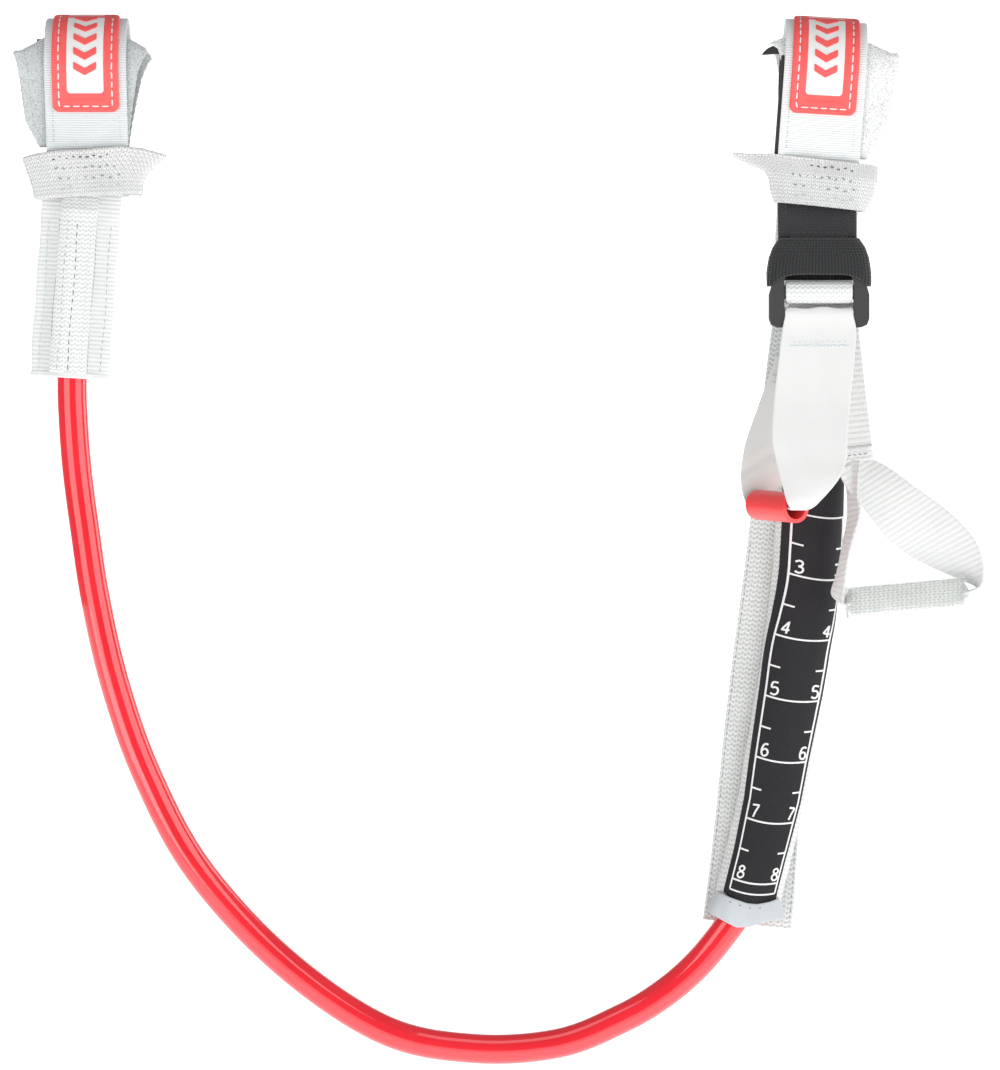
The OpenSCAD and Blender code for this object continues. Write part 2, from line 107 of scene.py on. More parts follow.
middle = (centre_x, 0, centre_z)
lamp("left_panel", (-0.97, -1.22, -0.1), middle, (1.3, 1.6), 11)
lamp("right_panel", (1.33, -0.96, -0.1), middle, (1.45, 1.6), 12)
lamp("right_side", (1.35, 0.45, 0.0), (0.05, 0, -0.2), (0.6, 1.4), 5)
lamp("top_soft", (0.1, -0.9, 1.3), middle, (1.2, 0.8), 3.2)
world = bpy.data.worlds.new("world")
world.use_nodes = True
world.node_tree.nodes["Background"].inputs[0].default_value = (0.97, 0.985, 1, 1)
world.node_tree.nodes["Background"].inputs[1].default_value = 0.25
scene.world = world
scene.view_settings.view_transform = "Standard"


# ---- Materials: a small language for node graphs ----


class Graph:
    """Nodes of one material. Numbers and sockets can be mixed freely as arguments."""

    def __init__(self, name):
        self.material = bpy.data.materials.new(name)
        self.material.use_nodes = True
        self.tree = self.material.node_tree
        self.shader = self.tree.nodes["Principled BSDF"]

    def put(self, socket, value):
        if isinstance(value, bpy.types.NodeSocket):
            self.tree.links.new(value, socket)
        else:
            socket.default_value = value

    def node(self, kind, **inputs):
        n = self.tree.nodes.new("ShaderNode" + kind)
        for key, value in inputs.items():
            self.put(n.inputs[key], value)
        return n

    def math(self, operation, a, b=0.0, c=0.0):
        n = self.node("Math")
        n.operation = operation
        for i, v in enumerate((a, b, c)):
            self.put(n.inputs[i], v)
        return n.outputs[0]

    def mul(self, a, b):
        return self.math("MULTIPLY", a, b)

    def add(self, a, b):
        return self.math("ADD", a, b)

    def mul_add(self, a, b, c):
        return self.math("MULTIPLY_ADD", a, b, c)

    def size(self, a):
        return self.math("ABSOLUTE", a)

    def wave(self, x, pitch):
        """A sine of -1 to 1 with that pitch, in the unit of x."""
        return self.math("SINE", self.mul(x, 2 * math.pi / pitch))

    def uv(self):
        """Across and along the band, in millimetres."""
        n = self.node("UVMap")
        n.uv_map = "cloth"
        return self.split(n.outputs[0])

    def split(self, vector):
        return self.node("SeparateXYZ", Vector=vector).outputs

    def place(self):
        return self.node("TexCoord").outputs["Object"]

    def noise(self, scale, detail=2.0, rough=0.5):
        n = self.node("TexNoise", Scale=scale, Detail=detail, Roughness=rough, Vector=self.place())
        return n.outputs[0]

    def cells(self, scale):
        return self.node("TexVoronoi", Scale=scale, Vector=self.place()).outputs[0]

    def ramp(self, x, stops):
        n = self.node("ValToRGB")
        self.put(n.inputs[0], x)
        stop = n.color_ramp.elements
        while len(stop) < len(stops):
            stop.new(0.5)
        for e, (at, colour) in zip(stop, stops):
            e.position = at
            e.color = (*colour, 1)
        return n.outputs[0]

    def finish(self, colour, height, depth, strength, **sockets):
        """colour and height are sockets; a height of 0 to 1 stands for depth millimetres."""
        bump = self.node("Bump", Strength=strength, Distance=depth / 1000, Height=height)
        for key, value in {"Base Color": colour, "Normal": bump.outputs[0], **sockets}.items():
            self.put(self.shader.inputs[key.replace("_", " ")], value)
        return self.material


def tone(colour, factor):
    return tuple(min(1.0, c * factor) for c in colour)


CHEVRON_SLOPE = 0.65
FUZZ_SCALE, CLOUD_SCALE, GAP_SCALE = 2600, 70, 620


def woven(name, colour, rib, thread, style="rib", dark=0.62, depth=0.3, strength=0.6, speck=0.0, **sockets):
    """Webbing. rib is the pitch of the cross ribs and thread that of the warp, in millimetres.

    dark is the shade between the threads, as a part of the colour, and speck the share of gaps.
    """
    g = Graph(name)
    u, v = g.uv()[:2]
    if style == "knit":
        u, v = v, u
    if style in ("chevron", "knit", "column"):
        lean = g.math("PINGPONG", u, thread)
        h = g.wave(g.mul_add(lean, CHEVRON_SLOPE, v), rib)
        edge = g.size(g.math("SUBTRACT", g.math("DIVIDE", lean, thread), 0.5))
        valley = -0.55 if style == "chevron" else -1.7
        h = g.mul_add(h, 0.3, g.mul_add(edge, valley, 0.66 - 0.2 * (0.45 + valley)))
    elif style == "mesh":
        h = g.mul(
            g.size(g.wave(g.add(v, g.mul(g.wave(u, thread * 2), 0.05)), rib * 2)),
            g.mul_add(g.size(g.wave(u, thread * 2)), 0.9, 0.1),
        )
    elif style == "twill":
        h = g.mul_add(g.wave(g.mul_add(u, 0.35, v), rib), 0.2, 0.5)
        h = g.add(h, g.mul(g.wave(u, thread), 0.28))
    else:
        wobble = g.mul(g.wave(u, thread), 0.08 * rib)
        h = g.size(g.wave(g.add(v, wobble), rib * 2))
        h = g.mul(h, g.mul_add(g.wave(u, thread), 0.2, 0.8))
    cloud = g.noise(CLOUD_SCALE)
    h = g.mul_add(g.noise(FUZZ_SCALE), 0.22, h)
    shade = g.mul_add(g.math("SUBTRACT", cloud, 0.5), 0.35, h)
    if speck:
        # A few gaps in the weave, where the shade shows through
        gap = g.math("LESS_THAN", g.cells(GAP_SCALE), speck)
        shade = g.mul_add(gap, -0.35, shade)
    tint = g.ramp(shade, [(0.05, tone(colour, dark)), (0.42, tone(colour, (1 + dark) / 2)), (0.8, colour)])
    cloth = {"Roughness": 0.72, "Specular_IOR_Level": 0.3, "Sheen_Weight": 0.25}
    return g.finish(tint, h, depth, strength, **{**cloth, **sockets})


def moulded(name, colour, rough, grain=900.0, depth=0.05, wear=1.25, **sockets):
    """Plastic or rubber: a fine grain, a slow change of tone, and worn lighter specks."""
    g = Graph(name)
    cloud = g.noise(60, 3)
    fine = g.noise(grain, 3)
    worn = g.math("GREATER_THAN", g.noise(340, 5, rough=0.7), 0.66)
    mixed = g.mul_add(worn, 0.25, g.mul_add(fine, 0.2, g.mul(cloud, 0.6)))
    tint = g.ramp(mixed, [(0.15, tone(colour, 0.9)), (0.5, colour), (0.95, tone(colour, wear))])
    return g.finish(tint, fine, depth, 0.4, Roughness=rough, **sockets)


webbing = woven("webbing_ribbed", (0.85, 0.86, 0.85), 2.3, 1.1, dark=0.86, depth=0.35, strength=0.6)
webbing_fold = woven("webbing_fold", (0.88, 0.89, 0.885), 1.75, 0.9, dark=0.76, depth=0.35, strength=0.7)
webbing_band = woven("webbing_band", (0.95, 0.96, 0.95), 1.6, 0.85, "knit", 0.7, 0.5, 0.9, speck=0.05)
webbing_v = woven("webbing_chevron", (0.87, 0.88, 0.875), 1.8, 1.15, "chevron", 0.66, 0.4, 0.8, speck=0.05)
webbing_grey = woven(
    "webbing_chevron_grey", (0.83, 0.85, 0.83), 2.0, 1.3, "chevron", 0.6, 0.45, 0.9, speck=0.08
)
webbing_grip = woven("webbing_in_grip", (0.99, 0.995, 0.98), 1.9, 1.1, "column", 0.5, 0.5, 0.9)
strap_cloth = woven("strap_cloth", (0.76, 0.8, 0.81), 1.02, 0.6, dark=0.66, depth=0.22, strength=0.8)
# The second strap cloth is a lighter copy of the first: painted light on the brighter adjustable strap.
strap_painted_light = woven("strap_cloth_painted_light", (0.88, 0.91, 0.91), 1.02, 0.6, dark=0.68, depth=0.22, strength=0.8)
strap_dark = woven("webbing_black", (0.042, 0.042, 0.046), 1.3, 1.2, "chevron", 0.4, 0.3, 0.8)
elastic = woven("elastic_mesh", (0.034, 0.036, 0.038), 1.3, 1.3, "mesh", 0.25, 0.55, 1.0)
label_cloth = woven(
    "label_cloth", (0.034, 0.032, 0.036), 0.8, 0.8, "mesh", 0.45, 0.12, 0.6,
    Sheen_Weight=0.05, Specular_IOR_Level=0.15,
)
satin = woven("ribbon_satin", (0.875, 0.88, 0.865), 1.1, 0.75, "twill", 0.93, 0.05, 0.5, Roughness=0.5)
# The ribbon's back limb uses a darker copy of the satin: painted shade.
satin_back_painted_shade = woven("ribbon_back_painted_shade", (0.73, 0.73, 0.715), 1.1, 0.75, "twill", 0.88, 0.06, 0.5, Roughness=0.55)
cuff_cloth = woven("cuff_cloth", (0.58, 0.61, 0.64), 0.9, 0.5, dark=0.86, depth=0.08, strength=0.6)


def pile_cloth(name, light):
    g = Graph(name)
    loops = g.cells(1500)
    lumps = g.noise(1300, 4, rough=0.7)
    h = g.mul_add(loops, -0.8, g.mul_add(lumps, 0.9, 0.35))
    tint = g.ramp(h, [(0.0, tone(light, 0.6)), (0.32, tone(light, 0.84)), (0.62, light)])
    return g.finish(tint, h, 0.4, 0.8, Roughness=0.85, Sheen_Weight=0.4, Specular_IOR_Level=0.2)


def tube_skin():
    g = Graph("tube_skin")
    cloud = g.noise(26, 2)
    scuff = g.noise(900, 5, rough=0.75)
    tint = g.ramp(cloud, [(0.3, (0.83, 0.006, 0.018)), (0.7, (0.95, 0.012, 0.028))])
    return g.finish(
        tint, scuff, 0.01, 0.25, Roughness=0.18, Coat_Weight=1.0, Coat_Roughness=0.04, Coat_IOR=1.78,
        Subsurface_Weight=0.12, Subsurface_Radius=(0.003, 0.0004, 0.0004), Specular_IOR_Level=0.3,
    )


def clear_skin():
    g = Graph("grip_clear")
    haze = g.noise(120, 3)
    tint = g.ramp(haze, [(0.3, (0.74, 0.78, 0.76)), (0.7, (0.85, 0.88, 0.86))])
    return g.finish(
        tint, g.noise(500, 2), 0.02, 0.3, Roughness=0.2, Transmission_Weight=0.5, IOR=1.42, Alpha=0.3
    )


# Two tones of one pad fur: the fixed strap's darker copy is painted shade, the adjustable strap's lighter copy is
# painted light.
pile_painted_shade = pile_cloth("pad_pile", (0.62, 0.65, 0.65))
pile_painted_light = pile_cloth("pad_pile_painted_light", (0.93, 0.94, 0.93))
tube_red = tube_skin()
clear = clear_skin()
rubber = moulded("badge_rubber", (0.93, 0.105, 0.1), 0.5, 1500, 0.03, 1.08, Coat_Weight=0.12)
panel_white = moulded("badge_white", (0.84, 0.84, 0.835), 0.5, 1500, 0.03, 1.05)
liner_rubber = moulded("liner_rubber", (0.03, 0.03, 0.032), 0.7, 1400, 0.08)
frame_plastic = moulded("buckle_plastic", (0.05, 0.047, 0.048), 0.42, 1100, 0.04, 1.6)
plug_plastic = moulded("plug_plastic", (0.12, 0.12, 0.13), 0.45)
handle_skin = moulded("handle_rubber", (0.99, 0.065, 0.066), 0.34, 1300, 0.02, 1.06, Coat_Weight=0.15)
hook_tape = moulded("hook_tape", (0.45, 0.46, 0.47), 0.6, 2600, 0.4)
print_white = moulded("print_white", (0.88, 0.88, 0.88), 0.55, 2000, 0.03, 1.04)
thread_white = moulded("thread_white", (0.86, 0.85, 0.85), 0.6, 2200, 0.08, 1.05)
thread_grey = moulded("thread_grey", (0.26, 0.34, 0.38), 0.7, 2200, 0.08)
thread_blue = moulded("thread_blue", (0.56, 0.68, 0.72), 0.7, 2200, 0.08)
thread_dark = moulded("thread_dark", (0.09, 0.11, 0.125), 0.7, 2200, 0.08)
yarn_white = moulded("yarn_white", (0.8, 0.82, 0.82), 0.8, 2200, 0.08)


def rope_braid():
    g = Graph("rope_braid")
    x, y, z = g.split(g.place())
    h = g.size(g.wave(g.add(g.mul(z, 1000), g.mul(x, 700)), 3.0))
    tint = g.ramp(h, [(0.0, (0.5, 0.5, 0.48)), (0.6, (0.83, 0.83, 0.81))])
    return g.finish(tint, h, 0.4, 0.7, Roughness=0.8, Sheen_Weight=0.3)


# ---- Frames, curves and bands ----


class Place:
    """A frame that leans about Y. It turns local millimetres into the row frame's."""

    def __init__(self, origin, lean=0.0):
        a = math.radians(lean)
        self.origin = np.array(origin, float)
        self.axes = np.array([[math.cos(a), 0, -math.sin(a)], [0, 1, 0], [math.sin(a), 0, math.cos(a)]])

    def __call__(self, *local):
        """Turns points, or three coordinates that broadcast."""
        return self.origin + np.asarray(points(*local) if len(local) == 3 else local[0], float) @ self.axes


def points(x, y, z):
    """Points from three coordinates: numbers, or arrays that broadcast."""
    return np.stack(np.broadcast_arrays(x, y, z), -1)


def box_centre(node):
    low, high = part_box(node)
    return np.array((low + high) / 2) * 1000


def anchored(node, local_centre, lean):
    """The frame in which the node's box has this centre."""
    turned = Place((0, 0, 0), lean)(local_centre)
    return Place(box_centre(node) - turned, lean)


def lean_of(axis):
    return math.degrees(math.atan2(axis[0], axis[2]))


here = Place((0, 0, 0))
far_mount = mounts["boom_loop_adjust"]
far_axis = np.array(far_mount["axis"])
far_lean = math.degrees(math.atan2(-far_axis[2], far_axis[0]))
in_adjust = Place(np.array(far_mount["pos_m"]) * 1000 - 2 * far_axis, far_lean)
in_sleeve = anchored("fixed_sleeve", (0, 0, -28.05), 3.5)
in_pocket = anchored("scale_sleeve", (0, -0.6, -136), lean_of(joints["length_adjust"]["axis"]))
in_tail = anchored("tail_webbing", (0, 0, -29.25), lean_of(joints["tail_feed"]["axis"]))
top_bar = np.array(joints["buckle_tilt"]["pos_m"]) * 1000
low_bar = np.array(joints["pull_tab_swing"]["pos_m"]) * 1000
in_buckle = Place(top_bar)


def smooth(stops, n=8):
    """A smooth path through the stops."""
    p = np.asarray(stops, float)
    p = np.vstack([2 * p[0] - p[1], p, 2 * p[-1] - p[-2]])
    t = (np.arange(n) / n)[:, None]
    out = []
    for i in range(1, len(p) - 2):
        a, b, c, d = p[i - 1 : i + 3]
        square, cube = 2 * a - 5 * b + 4 * c - d, 3 * b - a - 3 * c + d
        out.append(0.5 * (2 * b + (c - a) * t + square * t**2 + cube * t**3))
    out.append(p[-2][None])
    return np.vstack(out)


def lengths(path):
    step = np.linalg.norm(np.diff(path[:, :3], axis=0), axis=1)
    return np.concatenate([[0], np.cumsum(step)])


def even(path, step):
    """The path with points this far apart. Columns after the third go along."""
    path = np.asarray(path, float)
    s = lengths(path)
    t = np.linspace(0, s[-1], max(2, int(round(s[-1] / step)) + 1))
    return np.stack([np.interp(t, s, path[:, k]) for k in range(path.shape[1])], axis=1)


def across(width, n=12):
    """Places across a band, with more of them near its edges."""
    h = width / 2
    rim = [h, h - 0.15, h - 0.4, h - 0.8]
    return np.array(sorted({-r for r in rim} | set(rim) | set(np.linspace(-h + 1.6, h - 1.6, n))))


def part(x):
    """x, held between 0 and 1."""
    return np.clip(x, 0, 1)


def unit(v):
    return v / np.maximum(np.linalg.norm(v, axis=-1, keepdims=True), 1e-9)


def arc(centre, r, angles):
    """Points round a bar that lies along X."""
    return [centre + r * np.array([0, math.cos(a), math.sin(a)]) for a in angles]


def make(name, verts, faces, uvs, material):
    """A smooth mesh object from millimetres."""
    mesh = bpy.data.meshes.new(name)
    mesh.from_pydata((np.asarray(verts) / 1000).tolist(), [], faces)
    if uvs is not None:
        layer = mesh.uv_layers.new(name="cloth")
        layer.data.foreach_set("uv", np.asarray(uvs, np.float32).ravel())
    mesh.materials.append(material)
    mesh.shade_smooth()
    o = bpy.data.objects.new(name, mesh)
    scene.collection.objects.link(o)
    return o


def grid_faces(rows, cols, closed, first, flip):
    out, corner = [], []
    for i in range(rows if closed else rows - 1):
        k = (i + 1) % rows
        for j in range(cols - 1):
            a, b = first + i * cols + j, first + k * cols + j
            quad = [a, a + 1, b + 1, b]
            at = [(i, j), (i, j + 1), (i + 1, j + 1), (i + 1, j)]
            if flip:
                quad, at = quad[::-1], at[::-1]
            out.append(quad)
            corner += at
    return out, corner


def slab(name, grid, thick, material, closed=False, swap=False):
    """A band of cloth. grid is [along][across][xyz], its middle surface.

    closed joins its two ends, and swap turns the weave by 90 degrees.
    """
    p = np.asarray(grid, float)
    rows, cols = p.shape[:2]
    along = (np.roll(p, -1, 0) - np.roll(p, 1, 0)) if closed else np.gradient(p, axis=0)
    normal = unit(np.cross(np.gradient(p, axis=1), along))
    mid = p[:, cols // 2]
    u = np.concatenate([[0], np.cumsum(np.linalg.norm(np.diff(p[rows // 2], axis=0), axis=1))])
    ring = np.vstack([mid, mid[:1]]) if closed else mid
    v = lengths(ring)
    rim = np.minimum(u, u[-1] - u)[None, :] * np.ones((rows, 1))
    if not closed:
        rim = np.minimum(rim, np.minimum(v, v[-1] - v)[:, None])
    reach = max(thick * 0.55, 0.3)
    round_off = np.sqrt(part(1 - (1 - part(rim / reach)) ** 2))
    half = thick / 2 * (0.22 + 0.78 * round_off)
    front, back = p + normal * half[..., None], p - normal * half[..., None]
    verts = np.vstack([front.reshape(-1, 3), back.reshape(-1, 3)])
    n = rows * cols
    faces, corner = grid_faces(rows, cols, closed, 0, False)
    more, where = grid_faces(rows, cols, closed, n, True)
    faces += more
    corner += where
    spans = range(rows if closed else rows - 1)
    walls = [((i, j), (i + 1, j), turn) for i in spans for j, turn in ((0, 1), (cols - 1, -1))]
    if not closed:
        walls += [((i, j), (i, j + 1), turn) for i, turn in ((0, -1), (rows - 1, 1)) for j in range(cols - 1)]
    for a, b, turn in walls:
        first, second = ((i % rows) * cols + j for i, j in (a, b))
        faces.append([first, second, n + second, n + first][::turn])
        corner += [a, b, b, a][::turn]
    uu = u - u[-1] / 2
    uvs = [(v[i], uu[j]) if swap else (uu[j], v[i]) for i, j in corner]
    return make(name, verts, faces, uvs, material)


def band(name, path, side, width, thick, material, step=0.8, n=12, crown=0.0):
    """A flat band along a path. side is the direction across it."""
    path = even(path, step)
    side = unit(np.broadcast_to(np.asarray(side, float), path[:, :3].shape))
    u = across(width, n)
    grid = path[:, None, :3] + side[:, None] * u[None, :, None]
    if crown:
        out = unit(np.cross(side, np.gradient(path[:, :3], axis=0)))
        grid += out[:, None] * (crown * (1 - (2 * u / width) ** 2))[None, :, None]
    return slab(name, grid, thick, material)


def stationed(name, stations, thick, material, step=0.8, n=14, fold=None):
    """A band through stations of a centre and a half-width vector: two triples, or six numbers in a row."""
    table = np.array([np.hstack(station) for station in stations], float)
    path = even(smooth(table, 10), step)
    t = across(20.0, n) / 10
    grid = path[:, None, :3] + path[:, None, 3:] * t[None, :, None]
    if fold is not None:
        normal = unit(np.cross(path[:, 3:], np.gradient(path[:, :3], axis=0)))
        grid += normal[:, None] * fold(t[None, :], lengths(path)[:, None])[..., None]
    return slab(name, grid, thick, material)


def spindle(first, rings, sides):
    """Faces of a closed thread made of rings of vertices."""
    last = first + (rings - 1) * sides
    walls = [
        [q + a, q + (a + 1) % sides, q + sides + (a + 1) % sides, q + sides + a]
        for q in range(first, last, sides) for a in range(sides)
    ]
    return walls + [list(range(first, first + sides))[::-1], list(range(last, last + sides))]


def stitches(name, path, pitch, size, material, wander=0.0, zigzag=0.0):
    """Threads that lie along a path: short rounded pieces of [length, thickness]."""
    up = np.array((0.0, -1.0, 0.0))
    path = even(np.asarray(path, float), 0.5)
    s = lengths(path)
    long, thin = size
    verts, faces = [], []
    sides, rings = 6, [(-0.5, 0.25), (-0.38, 0.8), (0, 1), (0.38, 0.8), (0.5, 0.25)]
    at, count = pitch / 2, 0
    while at < s[-1] - pitch / 3:
        point, ahead = (np.array([np.interp(t, s, path[:, k]) for k in range(3)]) for t in (at, at + 0.4))
        direction = unit(ahead - point)
        upward = unit(up - direction * np.dot(up, direction))
        sway = (zigzag * (1 if count % 2 else -1)) + wander * rng.uniform(-1, 1)
        direction = unit(direction + np.cross(direction, upward) * sway)
        cross = np.cross(direction, upward)
        faces += spindle(len(verts), len(rings), sides)
        scale = 1 + 0.12 * rng.uniform(-1, 1)
        for k, r in rings:
            for w in (2 * math.pi * a / sides for a in range(sides)):
                side = cross * math.cos(w) + upward * (math.sin(w) * 0.7)
                verts.append(point + direction * k * long * scale + side * r * thin / 2)
        at += pitch
        count += 1
    return make(name, np.array(verts), faces, None, material)


def settle(piece, body, slot_name, *nodes):
    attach(piece, body)
    if nodes:
        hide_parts(*nodes)


def sew(name, body, slot_name, path, pitch, size, thread, *play):
    """Stitches that ride on a body. The slot of the cloth that they hold is not used."""
    settle(stitches(name, path, pitch, size, thread, *play), body, slot_name)


THIRD_TURN = 2.094


def fray(name, places, body, slot_name, material, spread, long, count, thin, up=(0, 0, 1)):
    """Loose fibres at an edge, as one mesh of thin bent threads."""
    verts, faces = [], []
    places = np.asarray(places, float)
    for _ in range(count):
        base = places[rng.integers(len(places))] + rng.normal(0, 0.25, 3)
        aim = unit(np.asarray(up, float) + rng.normal(0, 0.55, 3) * spread)
        bend = rng.normal(0, 0.5, 3)
        reach = long * rng.uniform(0.35, 1)
        faces += spindle(len(verts), 5, 3)
        for t in (0, 0.25, 0.5, 0.75, 1):
            c = base + aim * reach * t + bend * reach * 0.35 * t * t
            r = thin * (1 - 0.5 * t)
            for w in (0, THIRD_TURN, THIRD_TURN * 2):
                verts.append(c + np.array([math.cos(w), 0.3 * math.sin(w), math.sin(w)]) * r)
    settle(make(name, np.array(verts), faces, None, material), body, slot_name)


# ---- The tube: the one free cord ----

ROUTE = [
    (-2.5, 0, -62), (-3.7, 0, -80), (-4.9, 0, -100), (-6.1, 0, -120), (-6.5, 0, -134), (-5.8, 0, -150),
    (-4.3, 0, -168), (-1.4, 0, -190), (3, 0, -219), (11, 0, -254), (24, 0, -291), (45, 0, -330),
    (80, 0, -368), (121, 1, -396), (158, 2.6, -404), (193, 4.6, -402), (219, 6.4, -392), (236, 7.8, -382),
    (250, 8.7, -370), (262, 9, -355.5), (270, 9, -343.5), (276, 9, -329.5), (279, 9, -315.5),
    (281.5, 9, -294), (284, 9, -273), (287, 9, -247),
]
tube_line = even(smooth(ROUTE, 12), 2.0)


def pipe(name, line, outer, inner, material):
    """A hollow pipe with rounded lips, along a line near the XZ plane."""
    ahead = unit(np.gradient(line, axis=0))
    a = unit(np.cross(ahead, (0, 1, 0)))
    b = np.cross(a, ahead)
    lip = min(0.35, (outer - inner) / 4)
    last = len(line) - 1
    loops = [(0, lip, (outer + inner) / 2), (0, lip * 0.3, outer - lip * 0.6)]
    loops += [(i, 0, outer) for i in range(1, last)]
    loops += [(last, -lip * 0.3, outer - lip * 0.6)]
    loops += [(last, 0, outer - lip * 1.6), (last, 0, inner + lip * 1.6)]
    loops += [(i, 0, inner) for i in range(last - 1, 0, -1)] + [(0, 0, inner + lip * 1.6)]
    sides = 40
    verts, turn = [], np.arange(sides) * 2 * math.pi / sides
    for i, shift, r in loops:
        c = line[i] + ahead[i] * shift
        verts.append(c + r * (np.cos(turn)[:, None] * a[i] + np.sin(turn)[:, None] * b[i]))
    n = len(loops)
    faces, uvs = [], []
    run = lengths(line)
    for k in range(n):
        m = (k + 1) % n
        for j in range(sides):
            w = (j + 1) % sides
            faces.append([k * sides + j, k * sides + w, m * sides + w, m * sides + j])
            ua, ub = j * outer * 2 * math.pi / sides, (j + 1) * outer * 2 * math.pi / sides
            va, vb = run[loops[k][0]], run[loops[m][0]]
            uvs += [(ua, va), (ub, va), (ub, vb), (ua, vb)]
    return make(name, np.vstack(verts), faces, uvs, material)


tube = pipe("tube", tube_line, 6.15, 3.5, tube_red)
settle(tube, "line", "tube_red", "red_tube")
for node, material in {
    "core_rope": rope_braid(), "fixed_end_plug": plug_plastic, "slide_end_plug": plug_plastic,
    "anchor_tongue": rope_braid(), "buckle_frame": frame_plastic, "release_tube": handle_skin,
}.items():
    o = frame["nodes"][node]
    o.data.materials.clear()
    o.data.materials.append(material)
for node, width in (("buckle_frame", 0.0007), ("release_tube", 0.0006)):
    o = frame["nodes"][node]
    bevel = o.modifiers.new("round", "BEVEL")
    bevel.width = width
    bevel.segments = 3
    bevel.limit_method = "ANGLE"
    bevel.angle_limit = math.radians(35)
    bevel.harden_normals = True


# ---- Boom straps ----

STRAP_R, STRAP_WIDE, STRAP_THICK, STRAP_GAP = 17.7, 33.5, 1.5, 4.05
LINER_R, HOOK_R, PAD_R = 14.9, 16.45, 15.75
BADGE_R, BADGE_WIDE, BADGE_FROM = STRAP_R + 0.75, 27.2, 99
GROOVE, PANEL_RISE = 2.75, 1.3
CHEVRON_STEP = 6.2


def fall(foot):
    """The angle at which a strap leaves the boom for a foot that far below it."""
    return math.degrees(math.atan2(foot, STRAP_GAP) - math.acos(STRAP_R / math.hypot(foot, STRAP_GAP)))


def wrap(r, foot, a0, s):
    """Points and outward normals, in Y and Z, at distances s along a layer of radius r from angle a0."""
    a1 = 180 + fall(foot)
    s = np.asarray(s, float)
    bend = math.radians(a1 - a0) * r
    a = np.radians(a0) + np.minimum(s, bend) / r
    n = np.stack([np.cos(a), np.sin(a)], -1)
    e = math.radians(a1)
    down = np.array([-math.sin(e), math.cos(e)])
    return r * n + np.maximum(s - bend, 0)[..., None] * down, n


def wrap_length(r, foot, a0, depth):
    a1 = math.radians(180 + fall(foot))
    return r * (a1 - math.radians(a0)) + (depth - r * math.sin(a1 - math.pi)) / math.cos(a1 - math.pi)


def patch(name, place, foot, r, a0, span, width, corner, material, height, bend=0.0):
    """A moulded patch on a strap: span is its start and end along the layer, height(d) its thickness.

    d is the distance to its outline, and bend how far its middle is ahead of its sides.
    """
    step = 0.4
    s0, s1 = span
    length, h = s1 - s0, width / 2
    ends = corner * (1 - np.cos(np.linspace(0, math.pi / 2, 7)))
    body = np.linspace(corner, length - corner, max(3, int(length / step)))[1:-1]
    rows = np.concatenate([ends, body, (length - ends)[::-1]])
    body = np.round(np.linspace(-h + 0.95, h - 0.95, max(4, int(width / step))), 4)
    cols = {round(x, 4) for f in (0, 0.12, 0.3, 0.6) for x in (-h + f, h - f)}
    cols = np.array(sorted(cols | set(body))) / h
    near = np.minimum(rows, length - rows)
    inset = corner - np.sqrt(np.clip(corner**2 - (corner - np.minimum(near, corner)) ** 2, 0, None))
    u = cols[None, :] * (h - inset)[:, None]
    s = np.broadcast_to(rows[:, None], u.shape)
    qx, qs = np.abs(u) - (h - corner), np.abs(s - length / 2) - (length / 2 - corner)
    d = corner - np.hypot(np.maximum(qx, 0), np.maximum(qs, 0)) - np.minimum(np.maximum(qx, qs), 0)
    p, n = wrap(r, foot, a0, s + s0 + bend * (1 - np.abs(u) / h))
    upper, lower = (place(u, q[..., 0], q[..., 1]) for q in (p + n * height(d)[..., None], p))
    R, C = u.shape
    faces = grid_faces(R, C, False, 0, False)[0] + grid_faces(R, C, False, R * C, True)[0]
    border = [(0, j) for j in range(C)] + [(i, C - 1) for i in range(1, R)]
    border += [(R - 1, j) for j in range(C - 2, -1, -1)] + [(i, 0) for i in range(R - 2, 0, -1)]
    for (i, j), (k, m) in zip(border, border[1:] + border[:1]):
        faces.append([i * C + j, R * C + i * C + j, R * C + k * C + m, k * C + m])
    return make(name, np.vstack([upper.reshape(-1, 3), lower.reshape(-1, 3)]), faces, None, material)


def soft_edge(thick, reach=0.45):
    return lambda d: thick * (0.35 + 0.65 * np.sqrt(part(1 - (1 - part(d / reach)) ** 2)))


def badge_height(d):
    rim = soft_edge(1.6, 0.8)(d)
    groove = 0.5 * np.exp(-(((d - GROOVE) / 0.42) ** 4))
    swell = 0.12 * np.exp(-(((d - 1.4) / 0.8) ** 2)) + 0.1 * np.exp(-(((d - 4.4) / 1.0) ** 2))
    panel = 0.22 * part((d - 5.7) / 0.3)
    return rim - groove + swell * part(d / 0.6) - panel


